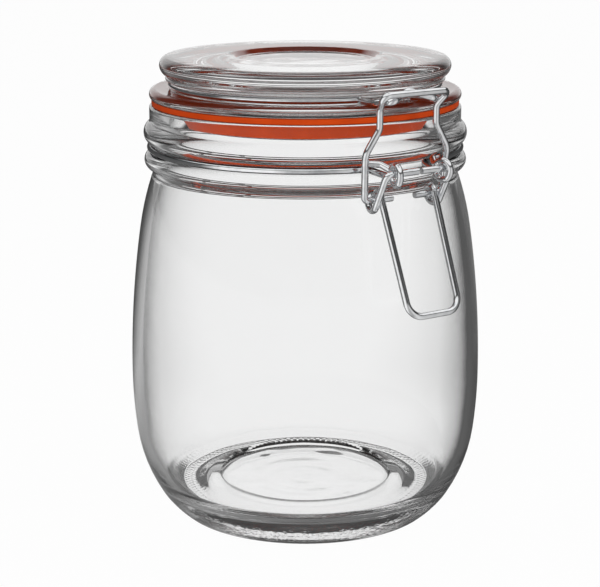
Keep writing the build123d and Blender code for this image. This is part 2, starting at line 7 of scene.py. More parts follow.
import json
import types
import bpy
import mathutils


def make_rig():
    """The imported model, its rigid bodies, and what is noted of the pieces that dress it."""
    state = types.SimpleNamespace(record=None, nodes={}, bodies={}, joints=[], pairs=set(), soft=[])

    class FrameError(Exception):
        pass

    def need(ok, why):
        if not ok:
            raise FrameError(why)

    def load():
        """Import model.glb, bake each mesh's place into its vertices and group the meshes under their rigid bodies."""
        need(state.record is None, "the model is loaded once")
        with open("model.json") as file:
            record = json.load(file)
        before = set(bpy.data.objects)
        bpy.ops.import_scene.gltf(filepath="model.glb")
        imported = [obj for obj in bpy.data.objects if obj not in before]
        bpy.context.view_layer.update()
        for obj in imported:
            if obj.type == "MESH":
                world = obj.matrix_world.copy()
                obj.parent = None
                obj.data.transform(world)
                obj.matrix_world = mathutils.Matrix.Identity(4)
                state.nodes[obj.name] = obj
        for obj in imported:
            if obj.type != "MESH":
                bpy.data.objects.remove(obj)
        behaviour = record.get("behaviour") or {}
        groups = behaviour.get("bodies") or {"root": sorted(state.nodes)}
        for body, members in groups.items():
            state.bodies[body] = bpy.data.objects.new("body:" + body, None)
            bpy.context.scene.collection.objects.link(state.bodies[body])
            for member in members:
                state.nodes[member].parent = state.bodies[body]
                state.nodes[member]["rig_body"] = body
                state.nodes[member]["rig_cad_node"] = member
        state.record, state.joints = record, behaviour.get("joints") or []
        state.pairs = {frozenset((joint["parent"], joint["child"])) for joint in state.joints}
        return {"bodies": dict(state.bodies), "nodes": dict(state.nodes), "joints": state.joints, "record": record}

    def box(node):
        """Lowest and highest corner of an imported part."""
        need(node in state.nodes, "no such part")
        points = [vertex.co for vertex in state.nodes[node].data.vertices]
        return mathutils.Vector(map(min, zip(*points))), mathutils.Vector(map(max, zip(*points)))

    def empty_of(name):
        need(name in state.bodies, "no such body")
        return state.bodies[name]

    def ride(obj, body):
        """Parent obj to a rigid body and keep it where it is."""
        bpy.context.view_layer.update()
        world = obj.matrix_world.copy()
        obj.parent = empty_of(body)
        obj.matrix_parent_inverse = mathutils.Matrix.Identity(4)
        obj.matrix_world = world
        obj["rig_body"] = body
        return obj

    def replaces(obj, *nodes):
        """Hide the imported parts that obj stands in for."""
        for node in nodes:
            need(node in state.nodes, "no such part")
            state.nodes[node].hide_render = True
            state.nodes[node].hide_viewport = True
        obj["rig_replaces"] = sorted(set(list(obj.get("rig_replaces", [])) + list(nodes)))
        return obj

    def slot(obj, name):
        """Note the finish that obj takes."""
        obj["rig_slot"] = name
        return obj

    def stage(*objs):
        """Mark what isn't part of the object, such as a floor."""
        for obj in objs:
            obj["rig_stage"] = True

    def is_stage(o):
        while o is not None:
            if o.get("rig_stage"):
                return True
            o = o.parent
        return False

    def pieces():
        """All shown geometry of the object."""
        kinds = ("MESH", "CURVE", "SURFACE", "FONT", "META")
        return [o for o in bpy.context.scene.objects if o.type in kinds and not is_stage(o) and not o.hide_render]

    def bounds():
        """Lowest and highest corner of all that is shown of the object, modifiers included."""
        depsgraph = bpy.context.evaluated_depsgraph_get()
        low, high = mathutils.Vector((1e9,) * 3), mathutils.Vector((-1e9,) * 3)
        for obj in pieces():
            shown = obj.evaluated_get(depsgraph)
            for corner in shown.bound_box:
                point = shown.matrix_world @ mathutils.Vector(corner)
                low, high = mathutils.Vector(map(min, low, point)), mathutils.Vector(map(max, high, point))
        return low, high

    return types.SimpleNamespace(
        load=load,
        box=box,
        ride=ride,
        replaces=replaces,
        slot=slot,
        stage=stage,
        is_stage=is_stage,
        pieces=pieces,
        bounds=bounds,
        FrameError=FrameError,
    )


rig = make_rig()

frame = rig.load()

import json
import logging
import math
from dataclasses import dataclass, field
from enum import Enum
from typing import Callable, Optional, Sequence

import bpy
from mathutils import Matrix, Vector, noise

LOG = logging.getLogger("jar")
MM = 0.001
SIZE_FILE = "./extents.json"

TOUCH = 0.01 * MM  # two heights closer than this are the same
ON_AXIS = 0.0001 * MM  # a radius under this is on the axis
FINE_RUN = 0.3 * MM  # step of the short runs that carry a relief or turn a sharp corner
AXIS_RUN = 9 * MM  # longer than any run along the axis, so that it is one edge
RING_TURN = math.radians(1.5)  # largest turn between two points of a ring of wire
SNUG = 0.98  # bend of a coil's corners, as a share of its radius, so that no two arcs overlap
END_SHARE = 0.72  # radius of a wire's rounded cut end, as a share of the wire's
FOLD_PLAY = 0.5 * MM  # from the jar's mouth in to the fold of the ring
NECK_WIRE_SINK = 0.1 * MM  # how far the neck wire's middle lies inside the rim's radius
LID_WIRE_SEAT = 1.05 * MM  # from each face of the lid's groove to the wire's middle
COIL_STANDOFF = 3.8 * MM  # from the jar's shoulder out to the lever's coils
WHITE = (1.0, 1.0, 1.0, 1.0)

Point2 = tuple[float, float]
Point3 = tuple[float, float, float]
Colour = tuple[float, float, float]
Socket = bpy.types.NodeSocket


class Body(Enum):
    """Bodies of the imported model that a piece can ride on."""

    JAR = "jar"
    LID = "lid"
    LEVER = "lever"
    LINK = "link"


class Slot(Enum):
    """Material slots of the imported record."""

    JAR_GLASS = "jar_glass"
    LID_GLASS = "lid_glass"
    RUBBER = "gasket_rubber"
    WIRE = "wire"


# ---------------------------------------------------------------- node helpers
class Nodes:
    """Small typed helper that adds and links the nodes of one tree."""

    def __init__(self, tree: bpy.types.NodeTree) -> None:
        """Starts with an empty tree.

        Args:
            tree: the tree to fill.
        """
        self.tree = tree
        tree.nodes.clear()

    def feed(self, slot: Socket, value: object) -> None:
        """Gives an input a plain value, or links a socket to it.

        Args:
            slot: the input.
            value: the value or the socket.
        """
        if isinstance(value, Socket):
            self.tree.links.new(value, slot)
        else:
            slot.default_value = value

    def add(
        self, kind: str, inputs: Optional[dict[str, object]] = None, /, **settings: object
    ) -> bpy.types.Node:
        """Adds a node.

        Args:
            kind: the node's type name.
            inputs: a value or a socket for its inputs, by name.
            settings: properties of the node by name.

        Returns:
            The new node.
        """
        node = self.tree.nodes.new(kind)
        for name, value in settings.items():
            setattr(node, name, value)
        for name, value in (inputs or {}).items():
            self.feed(node.inputs[name], value)
        return node

    def math(self, operation: str, *values: object) -> Socket:
        """Adds a Math node.

        Args:
            operation: the operation's name.
            values: a socket or a number for each of its inputs.

        Returns:
            The node's result.
        """
        node = self.add("ShaderNodeMath", operation=operation)
        for slot, value in zip(node.inputs, values):
            self.feed(slot, value)
        return node.outputs[0]

    def split(self, place: Socket, axis: str) -> Socket:
        """Gives the named coordinate of a point."""
        return self.add("ShaderNodeSeparateXYZ", {"Vector": place}).outputs[axis]

    def from_axis(self, place: Socket) -> Socket:
        """Gives a point's distance from the upright axis."""
        sides = [self.math("ABSOLUTE", self.split(place, axis)) for axis in "XY"]
        squares = [self.math("POWER", side, 2.0) for side in sides]
        return self.math("SQRT", self.math("ADD", *squares))

    def rise(self, value: Socket, start: float, end: float) -> Socket:
        """Rises smoothly from 0 at a starting value to 1 at an end value."""
        inputs = {"Value": value, "From Min": start, "From Max": end}
        node = self.add("ShaderNodeMapRange", inputs, interpolation_type="SMOOTHSTEP")
        return node.outputs["Result"]

    def marks(self, place: Socket, size: float, detail: float) -> Socket:
        """Gives soft random marks, of a size and with a number of finer octaves."""
        inputs = {"Vector": place, "Scale": 1 / size, "Detail": detail}
        return self.add("ShaderNodeTexNoise", inputs).outputs["Fac"]

    def bump(
        self, height: Socket, depth: float, strength: float = 1.0, under: Optional[Socket] = None
    ) -> Socket:
        """Roughens a surface.

        Args:
            height: the height, from 0 to 1.
            depth: what 1 stands for.
            strength: share of the effect.
            under: the normal to roughen, if not the surface's own.

        Returns:
            The roughened normal.
        """
        inputs = {"Height": height, "Distance": depth, "Strength": strength}
        if under is not None:
            inputs["Normal"] = under
        return self.add("ShaderNodeBump", inputs).outputs["Normal"]

    def ramp(self, source: Socket, stops: Sequence[tuple[float, Colour]]) -> Socket:
        """Adds a colour ramp.

        Args:
            source: the value that picks a colour.
            stops: positions and linear colours, in order.

        Returns:
            The ramp's colour.
        """
        node = self.add("ShaderNodeValToRGB", {"Fac": source})
        elements = node.color_ramp.elements
        while len(elements) < len(stops):
            elements.new(0.5)
        for element, (place, colour) in zip(elements, stops):
            element.position = place
            element.color = (*colour, 1.0)
        return node.outputs["Color"]

    def levels(self, source: Socket, stops: Sequence[Point2]) -> Socket:
        """Adds a ramp of grey levels, given as positions and brightnesses."""
        return self.ramp(source, [(place, (value,) * 3) for place, value in stops])

    def blend(self, share: Socket, first: Socket, second: Socket) -> Socket:
        """Mixes two shaders.

        Args:
            share: how much of the second.
            first: a shader.
            second: another shader.

        Returns:
            The mixed shader.
        """
        node = self.add("ShaderNodeMixShader")
        for source, slot in zip((share, first, second), node.inputs):
            self.feed(slot, source)
        return node.outputs["Shader"]

    def finish(self, surface: Socket, kind: str = "ShaderNodeOutputMaterial") -> None:
        """Puts a shader on the tree's output node."""
        self.add(kind, {"Surface": surface})


def new_material(name: str) -> tuple[bpy.types.Material, Nodes]:
    """Makes an empty node material.

    Args:
        name: the material's name.

    Returns:
        The material and the helper on its tree.
    """
    material = bpy.data.materials.new(name)
    material.use_nodes = True
    return material, Nodes(material.node_tree)


# ---------------------------------------------------------------- finishes
@dataclass(frozen=True)
class ClearGlass:
    """Clear glass from a press mould, with the slow waviness of a moulded wall.

    Attributes:
        name: the material's name.
        body: colour that passes through the face of a wall.
        fade: painted shade: how much of it is left as a wall turns away, from face on at 0 to edge on at 1, so that
            the glass is painted darker towards its edges.
        shadow: share of a lamp's light that each surface lets through.
        ior: index of refraction.
        wave_size: length of one wave in the surface.
        wave_depth: bump distance of the waves.
        foot_height: height under which the foot is mottled by its mould.
        full_height: height under which the mottling is full.
        foot_radius: radius from which it is mottled.
        full_radius: radius from which it is full.
        mottle_size: size of the mottling.
        mottle_depth: its bump distance.
    """

    name: str
    body: Colour = (0.998, 0.999, 0.999)
    # Painted shade towards the glass's edges, by how far a wall turns away.
    fade: Sequence[Point2] = (
        (0.25, 1.0), (0.34, 0.98), (0.45, 0.955), (0.55, 0.925),
        (0.64, 0.86), (0.74, 0.68), (0.84, 0.36), (1.0, 0.05),
    )
    shadow: float = 0.9
    ior: float = 1.5
    wave_size: float = 14 * MM
    wave_depth: float = 0.05 * MM
    foot_height: float = 9 * MM
    full_height: float = 6.3 * MM
    foot_radius: float = 33 * MM
    full_radius: float = 35.31 * MM
    mottle_size: float = 1.3 * MM
    mottle_depth: float = 0.0

    def mottling(self, nodes: Nodes, place: Socket, under: Socket) -> Socket:
        """Roughens the foot.

        Args:
            nodes: the tree to add to.
            place: the point on the glass.
            under: the normal to roughen.

        Returns:
            The roughened normal.
        """
        low = nodes.rise(nodes.split(place, "Z"), self.foot_height, self.full_height)
        wide = nodes.rise(nodes.from_axis(place), self.foot_radius, self.full_radius)
        grain = nodes.marks(place, self.mottle_size, 2.0)
        height = nodes.math("MULTIPLY", grain, nodes.math("MULTIPLY", low, wide))
        return nodes.bump(height, self.mottle_depth, under=under)

    def build(self) -> bpy.types.Material:
        """Builds the material."""
        material, nodes = new_material(self.name)
        place = nodes.add("ShaderNodeTexCoord").outputs["Object"]
        normal = nodes.bump(nodes.marks(place, self.wave_size, 1.0), self.wave_depth)
        if self.mottle_depth:
            normal = self.mottling(nodes, place, normal)
        # Painted shade: the glass's colour darkens as a wall turns edge-on, following the fade table.
        facing = nodes.add("ShaderNodeLayerWeight", {"Blend": 0.5}).outputs["Facing"]
        stops = [(turn, tuple(share * part for part in self.body)) for turn, share in self.fade]
        glass = nodes.add("ShaderNodeBsdfPrincipled", {
            "Roughness": 0.0,
            "IOR": self.ior,
            "Transmission Weight": 1.0,
            "Base Color": nodes.ramp(facing, stops),
            "Normal": normal,
        })
        clear = nodes.add("ShaderNodeBsdfTransparent", {"Color": (*(self.shadow,) * 3, 1.0)})
        shaded = nodes.add("ShaderNodeLightPath").outputs["Is Shadow Ray"]
        nodes.finish(nodes.blend(shaded, glass.outputs["BSDF"], clear.outputs["BSDF"]))
        return material


@dataclass(frozen=True)
class SealRubber:
    """Satin orange rubber with a fine dusty grain, and painted light and shade on its faces.

    Attributes:
        name: the material's name.
        colour: the rubber's colour.
        shade: colour in the faint darker clouds.
        skirt: painted light: brightness that the underside inside the fold is painted at.
        seat: painted shade: brightness that the underside outside the fold is painted at, where the rim presses on it.
        shaded_top: painted shade: brightness that the top is painted at, where the lid presses on it.
        fold: radius of the fold.
        tilt: how far a face looks up or down before it counts as top or underside.
        cloud_size: size of the clouds.
        roughness: mean roughness of the skin.
        dulling: how much the grain changes it.
        grain_size: size of the grain.
        grain_depth: its bump distance.
    """

    name: str
    colour: Colour = (0.57, 0.056, 0.004)
    shade: Colour = (0.50, 0.047, 0.003)
    # Painted light and shade by face, as brightness against the edge at 1.
    skirt: float = 1.65
    seat: float = 0.6
    shaded_top: float = 0.5
    fold: float = 41 * MM
    tilt: float = 0.2
    cloud_size: float = 9 * MM
    roughness: float = 0.42
    dulling: float = 0.16
    grain_size: float = 0.35 * MM
    grain_depth: float = 0.02 * MM

    def level(self, nodes: Nodes, place: bpy.types.Node) -> Socket:
        """Gives how bright a face is painted: the edge at 1, painted shade on the top and on the underside outside the
        fold, painted light on the underside inside it.

        Args:
            nodes: the tree to add to.
            place: the tree's Texture Coordinate node.

        Returns:
            The brightness.
        """
        upward = nodes.split(place.outputs["Normal"], "Z")
        # Painted shade on the faces that look up: the ring's top under the lid.
        shaded_top = nodes.math("GREATER_THAN", upward, self.tilt)
        downward = nodes.math("LESS_THAN", upward, -self.tilt)
        inside = nodes.math("LESS_THAN", nodes.from_axis(place.outputs["Object"]), self.fold)
        # Painted light on the underside inside the fold, painted shade on the underside outside it.
        under = nodes.math("MULTIPLY_ADD", inside, self.skirt - self.seat, self.seat - 1.0)
        level = nodes.math("MULTIPLY_ADD", downward, under, 1.0)
        return nodes.math("MULTIPLY_ADD", shaded_top, self.shaded_top - 1.0, level)

    def build(self) -> bpy.types.Material:
        """Builds the material."""
        material, nodes = new_material(self.name)
        place = nodes.add("ShaderNodeTexCoord")
        clouds = nodes.marks(place.outputs["Object"], self.cloud_size, 4.0)
        grain = nodes.marks(place.outputs["Object"], self.grain_size, 2.0)
        colour = nodes.ramp(clouds, ((0.35, self.shade), (0.65, self.colour)))
        # The painted light and shade scale the rubber's colour.
        inputs = {"Vector": colour, "Scale": self.level(nodes, place)}
        painted = nodes.add("ShaderNodeVectorMath", inputs, operation="SCALE")
        least = self.roughness - self.dulling / 2
        rubber = nodes.add("ShaderNodeBsdfPrincipled", {
            "IOR": 1.5,
            "Specular IOR Level": 0.1,
            "Base Color": painted.outputs["Vector"],
            "Roughness": nodes.math("MULTIPLY_ADD", grain, self.dulling, least),
            "Normal": nodes.bump(grain, self.grain_depth, 0.5),
        })
        nodes.finish(rubber.outputs["BSDF"])
        return material


@dataclass(frozen=True)
class BrightWire:
    """Polished drawn wire with faint scuffs.

    Attributes:
        name: the material's name.
        colour: reflection colour of the clean metal.
        scuffed: colour in the scuffs.
        roughness: mean roughness of the metal.
        dulling: how much the scuffs change it.
        scuff_size: size of the scuffs.
        scuff_depth: their bump distance.
    """

    name: str
    colour: Colour = (0.86, 0.87, 0.88)
    scuffed: Colour = (0.70, 0.71, 0.73)
    roughness: float = 0.12
    dulling: float = 0.14
    scuff_size: float = 2.5 * MM
    scuff_depth: float = 0.03 * MM

    def build(self) -> bpy.types.Material:
        """Builds the material."""
        material, nodes = new_material(self.name)
        place = nodes.add("ShaderNodeTexCoord").outputs["Object"]
        scuffs = nodes.marks(place, self.scuff_size, 6.0)
        least = self.roughness - self.dulling / 2
        metal = nodes.add("ShaderNodeBsdfPrincipled", {
            "Metallic": 1.0,
            "Base Color": nodes.ramp(scuffs, ((0.42, self.colour), (0.75, self.scuffed))),
            "Roughness": nodes.math("MULTIPLY_ADD", scuffs, self.dulling, least),
            "Normal": nodes.bump(scuffs, self.scuff_depth, 0.35),
        })
        nodes.finish(metal.outputs["BSDF"])
        return material


JAR_GLASS = ClearGlass("jar glass", mottle_depth=0.10 * MM)
# The lid's glass gets its painted edge shade only close to edge on.
LID_GLASS = ClearGlass(
    "lid glass", fade=((0.78, 1.0), (0.88, 0.85), (0.94, 0.45), (1.0, 0.08)), wave_depth=0.03 * MM
)
RING_RUBBER = SealRubber("ring rubber")
CLIP_WIRE = BrightWire("clip wire")


# ---------------------------------------------------------------- outlines and turned pieces
class Outline:
    """Half section of a turned piece: runs and arcs from point to point, as (radius, height)."""

    STEP = 1.5 * MM
    TURN = math.radians(6)

    def __init__(self, start: Point2) -> None:
        """Starts the outline.

        Args:
            start: its first point.
        """
        self.points: list[Point2] = [start]
        self.heading: Optional[Vector] = None

    def line(self, end: Point2, step: float = 3 * MM) -> None:
        """Adds a straight run.

        Args:
            end: where the run ends.
            step: longest distance between its points.
        """
        start, stop = Vector(self.points[-1]), Vector(end)
        count = max(1, math.ceil((stop - start).length / step))
        for index in range(1, count + 1):
            self.points.append(tuple(start.lerp(stop, index / count)))
        self.heading = (stop - start).normalized()

    def arc(self, centre: Vector, end: Vector, turn: float, step: float = STEP) -> None:
        """Adds points on an arc round a centre.

        Args:
            centre: the arc's centre.
            end: where the arc ends.
            turn: signed angle of the arc.
            step: longest distance between its points.
        """
        start = Vector(self.points[-1])
        spoke = start - centre
        way = abs(turn)
        count = max(2, math.ceil(way / self.TURN), math.ceil(way * spoke.length / step))
        for index in range(1, count + 1):
            turned = Matrix.Rotation(turn * index / count, 2) @ spoke
            self.points.append(tuple(centre + turned))
        self.points[-1] = tuple(end)
        last = end - centre
        side = 1 if turn > 0 else -1
        self.heading = Vector((-last.y, last.x)).normalized() * side

    def tangent(
        self, end: Point2, heading: Optional[Point2] = None, step: float = STEP
    ) -> None:
        """Adds an arc that leaves along the outline's heading.

        Args:
            end: where the arc ends.
            heading: direction to leave in, if not the last one.
            step: longest distance between its points.
        """
        start, stop = Vector(self.points[-1]), Vector(end)
        way = Vector(heading).normalized() if heading else self.heading
        chord = stop - start
        normal = Vector((-way.y, way.x))
        offset = chord.length_squared / (2 * chord.dot(normal))
        centre = start + normal * offset
        turn = 2 * math.atan2(way.x * chord.y - way.y * chord.x, way.dot(chord))
        self.arc(centre, stop, turn, step)

    def through(self, middle: Point2, end: Point2) -> None:
        """Adds an arc through a middle point.

        Args:
            middle: a point that the arc passes.
            end: where the arc ends.
        """
        a, b, c = Vector(self.points[-1]), Vector(middle), Vector(end)
        u, v = b - a, c - a
        cross = u.x * v.y - u.y * v.x
        centre = a + Vector((
            v.y * u.length_squared - u.y * v.length_squared,
            u.x * v.length_squared - v.x * u.length_squared,
        )) / (2 * cross)
        first, last = a - centre, c - centre
        turn = math.atan2(first.x * last.y - first.y * last.x, first.dot(last))
        side = 1 if cross > 0 else -1
        if turn * side < 0:
            turn += side * 2 * math.pi
        self.arc(centre, c, turn)


Relief = Callable[[float, float, float], tuple[float, float]]


def turned_mesh(
    name: str, outline: Sequence[Point2], segments: int, relief: Optional[Relief] = None
) -> bpy.types.Mesh:
    """Turns a closed half section round the Z axis, with closed poles.

    Args:
        name: the mesh's name.
        outline: the section's points, going up the outside and back down the inside.
        segments: number of columns round the axis.
        relief: gives a small outward and upward move for (radius, height, angle).

    Returns:
        The mesh, with its faces pointing outwards.
    """
    rows: list[list[int]] = []
    vertices: list[Point3] = []
    for radius, height in outline:
        if radius < ON_AXIS:
            rows.append([len(vertices)])
            vertices.append((0.0, 0.0, height))
            continue
        row = []
        for column in range(segments):
            angle = 2 * math.pi * column / segments
            out, up = relief(radius, height, angle) if relief else (0.0, 0.0)
            row.append(len(vertices))
            reach = radius + out
            vertices.append((reach * math.cos(angle), reach * math.sin(angle), height + up))
        rows.append(row)
    faces: list[tuple[int, ...]] = []
    for index, row in enumerate(rows):
        after = rows[(index + 1) % len(rows)]
        for column in range(segments):
            nxt = (column + 1) % segments
            if len(row) == 1 and len(after) == 1:
                break
            if len(row) == 1:
                faces.append((row[0], after[nxt], after[column]))
            elif len(after) == 1:
                faces.append((row[column], row[nxt], after[0]))
            else:
                faces.append((row[column], row[nxt], after[nxt], after[column]))
    mesh = bpy.data.meshes.new(name)
    mesh.from_pydata(vertices, [], faces)
    mesh.validate()
    return mesh


def add_piece(name: str, mesh: bpy.types.Mesh, material: bpy.types.Material) -> bpy.types.Object:
    """Puts a mesh in the scene with smooth faces and one material.

    Args:
        name: the piece's name.
        mesh: its mesh, in place.
        material: its material.

    Returns:
        The new object, at the origin.
    """
    mesh.materials.clear()
    mesh.materials.append(material)
    mesh.shade_smooth()
    piece = bpy.data.objects.new(name, mesh)
    bpy.context.scene.collection.objects.link(piece)
    return piece


def seat(piece: bpy.types.Object, body: Body, slot: Slot, *nodes: str) -> bpy.types.Object:
    """Makes a piece ride on a body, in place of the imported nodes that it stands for.

    Args:
        piece: the finished piece.
        body: the body that carries it.
        slot: its material slot.
        nodes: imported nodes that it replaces.

    Returns:
        The piece.
    """
    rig.ride(piece, body.value)
    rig.slot(piece, slot.value)
    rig.replaces(piece, *nodes)
    LOG.info("%s: %d faces on %s", piece.name, len(piece.data.polygons), body.value)
    return piece


# ---------------------------------------------------------------- glass
@dataclass
class GlassBody:
    """The jar: barrel body, neck with two beads, stippled foot.

    Attributes:
        radius: widest place of the body.
        rim_height: top of the rim.
    """

    radius: float
    rim_height: float
    waist_height: float = 44 * MM
    wall: float = 3.3 * MM
    foot_inset: float = 14 * MM
    foot_width: float = 3.6 * MM
    flank_height: float = 26 * MM
    flank_inset: float = 1.1 * MM
    heel_height: float = 6.7 * MM
    heel_inset: float = 7.9 * MM
    chest_rise: float = 18 * MM
    chest_inset: float = 3.5 * MM
    floor_height: float = 9 * MM
    corner_height: float = 14 * MM
    corner_inset: float = 7.9 * MM
    floor_corner: float = 0.5 * MM
    floor_corner_lap: float = 0.6 * MM
    floor_step: float = 0.7 * MM
    floor_ledge: float = 9.3 * MM
    punt_height: float = 3.6 * MM
    punt_slope: float = 5.6 * MM
    rim_inset: float = 6.9 * MM
    rim_width: float = 5.8 * MM
    rim_rounding: float = 0.8 * MM
    bead_overhang: float = 1.7 * MM
    bead_drop: float = 9.2 * MM
    bead_half_height: float = 4.2 * MM
    lower_bead_overhang: float = 1.6 * MM
    lower_bead_drop: float = 15.6 * MM
    wire_drop: float = 12.7 * MM
    groove_depth: float = 1.15 * MM
    groove_lip: float = 0.9 * MM
    groove_half_height: float = 1.2 * MM
    shoulder_drop: float = 19 * MM
    shoulder_inset: float = 1.3 * MM
    neck_inner_rise: float = 3 * MM
    segments: int = 360
    wall_step: float = 3.5 * MM
    heel_step: float = 0.55 * MM
    floor_grid: float = 1.6 * MM
    dots: int = 120
    dot_depth: float = 0.3 * MM
    dot_margin: float = 0.02
    dot_rows: int = 3
    heel_dot_depth: float = 0.22 * MM
    heel_lean: float = 0.7
    dot_pitch: float = 0.9 * MM
    stipple_height: float = 5.2 * MM
    floor_wave_size: float = 9 * MM
    floor_wave_depth: float = 0.12 * MM
    floor_wave_edge: float = 2 * MM
    floor_ring_pitch: float = 7.5 * MM
    floor_ring_share: float = 0.2

    def outline(self) -> list[Point2]:
        """Gives the half section, from the foot up the outside and down the inside."""
        rim = self.radius - self.rim_inset
        mouth = rim - self.rim_width
        foot = self.radius - self.foot_inset
        foot_inner = foot - self.foot_width
        shoulder = self.rim_height - self.shoulder_drop
        chest = shoulder - self.chest_rise
        wire = self.rim_height - self.wire_drop
        groove = rim - self.groove_depth
        bead = self.rim_height - self.bead_drop
        inner = self.radius - self.wall
        below = Outline((self.radius, self.waist_height))
        step = self.wall_step
        below.tangent((self.radius - self.flank_inset, self.flank_height), (0, -1), step)
        below.tangent((self.radius - self.heel_inset, self.heel_height), step=step)
        below.tangent((foot, 0), step=self.heel_step)
        side = Outline((foot_inner, 0))
        side.line((foot, 0), FINE_RUN)
        side.points += below.points[-2::-1]
        side.tangent((self.radius - self.chest_inset, chest), (0, 1), step)
        side.tangent((rim - self.shoulder_inset, shoulder), step=step)
        side.through(
            (rim + self.lower_bead_overhang, self.rim_height - self.lower_bead_drop),
            (groove + self.groove_lip, wire - self.groove_half_height),
        )
        side.through((groove, wire), (groove + self.groove_lip, wire + self.groove_half_height))
        side.through((rim + self.bead_overhang, bead), (rim, bead + self.bead_half_height))
        side.line((rim, self.rim_height - self.rim_rounding))
        side.tangent((rim - self.rim_rounding, self.rim_height), (0, 1))
        side.line((mouth + self.rim_rounding, self.rim_height))
        side.tangent((mouth, self.rim_height - self.rim_rounding), (-1, 0))
        side.line((mouth, shoulder + self.neck_inner_rise))
        inside = Outline((inner, self.waist_height))
        inside.tangent((inner - self.chest_inset, chest), (0, 1), step)
        inside.tangent((mouth, shoulder + self.neck_inner_rise), step=step)
        side.points += inside.points[-2::-1]
        side.tangent((inner - self.flank_inset, self.flank_height), (0, -1), step)
        side.tangent((self.radius - self.corner_inset, self.corner_height), step=step)
        side.tangent((foot + self.floor_corner_lap, self.floor_height + self.floor_corner))
        recess = foot_inner - self.floor_ledge
        side.line((recess, self.floor_height))
        side.line((recess - self.floor_step, self.floor_height - self.floor_step), FINE_RUN)
        side.line((0, self.floor_height - self.floor_step), self.floor_grid)
        side.line((0, self.punt_height), AXIS_RUN)
        side.line((foot_inner - self.punt_slope, self.punt_height), self.floor_grid)
        side.line((foot_inner, 0))
        return side.points[:-1]

    def relief(self, radius: float, height: float, angle: float) -> tuple[float, float]:
        """Stipples the foot and the heel, and makes the floor wavy on both sides.

        Args:
            radius: distance of the point from the axis.
            height: height of the point.
            angle: place round the axis.

        Returns:
            The outward and upward move.
        """
        foot = self.radius - self.foot_inset
        foot_inner = foot - self.foot_width
        if height < TOUCH:
            across = (radius - foot_inner) / self.foot_width
            if not self.dot_margin < across < 1 - self.dot_margin:
                return 0.0, 0.0
            wave = math.cos(self.dots * angle) * math.sin(self.dot_rows * math.pi * across)
            return 0.0, self.dot_depth * (0.5 - 0.5 * wave)
        if radius > foot and height < self.stipple_height:
            fade = math.sin(math.pi * (height / self.stipple_height)) ** 0.5
            row = math.pi * math.hypot(radius - foot, height) / self.dot_pitch
            deep = 0.5 - 0.5 * math.cos(self.dots * angle + row) * math.cos(row)
            move = self.heel_lean * self.heel_dot_depth * fade * deep
            return -move, move
        faces = (self.floor_height - self.floor_step, self.punt_height)
        if radius < foot_inner and any(abs(height - face) < TOUCH for face in faces):
            fade = max(0.0, foot_inner - self.floor_ledge - radius) / self.floor_wave_edge
            spot = Vector((radius * math.cos(angle), radius * math.sin(angle), height))
            rings = self.floor_ring_share * math.cos(2 * math.pi * radius / self.floor_ring_pitch)
            waves = (1 - self.floor_ring_share) * noise.noise(spot / self.floor_wave_size)
            return 0.0, min(1.0, fade) * self.floor_wave_depth * (waves + rings)
        return 0.0, 0.0

    def build(self) -> None:
        """Builds the jar."""
        mesh = turned_mesh("glass_body", self.outline(), self.segments, self.relief)
        seat(add_piece("glass_body", mesh, JAR_GLASS.build()), Body.JAR, Slot.JAR_GLASS, "jar")


@dataclass
class SealingRing:
    """The rubber ring: flat on the rim, its inner part turned down over the lid's rib.

    Attributes:
        outer: outer radius.
        rim: height of the rim that it lies on.
        fold: radius where its underside turns down.
    """

    outer: float
    rim: float
    fold: float
    thickness: float = 2 * MM
    skirt: float = 5.8 * MM
    skirt_drop: float = 6.6 * MM
    rounding: float = 0.35 * MM
    segments: int = 240

    def __post_init__(self) -> None:
        """Works out the section's corners."""
        slope = math.hypot(self.skirt, self.skirt_drop)
        self.top = self.rim + self.thickness
        self.inner = self.fold - self.skirt
        self.bottom = self.rim - self.skirt_drop
        self.skirt_rise = self.thickness * slope / self.skirt
        lift = self.skirt_rise - self.thickness
        self.upper_fold = self.fold - lift * self.skirt / self.skirt_drop

    def outline(self) -> list[Point2]:
        """Gives the closed section, with rounded edges."""
        corners = [
            (self.outer, self.rim),
            (self.outer, self.top),
            (self.upper_fold, self.top),
            (self.inner, self.bottom + self.skirt_rise),
            (self.inner, self.bottom),
            (self.fold, self.rim),
        ]
        points = [Vector((radius, 0.0, height)) for radius, height in corners]
        loop = [(points[-1] + points[0]) / 2] + points + [(points[-1] + points[0]) / 2]
        return [(point.x, point.z) for point in bent(loop, [self.rounding] * len(points))[:-1]]

    def build(self) -> None:
        """Builds the ring."""
        mesh = turned_mesh("sealing_ring", self.outline(), self.segments)
        seat(add_piece("sealing_ring", mesh, RING_RUBBER.build()), Body.LID, Slot.RUBBER, "gasket")


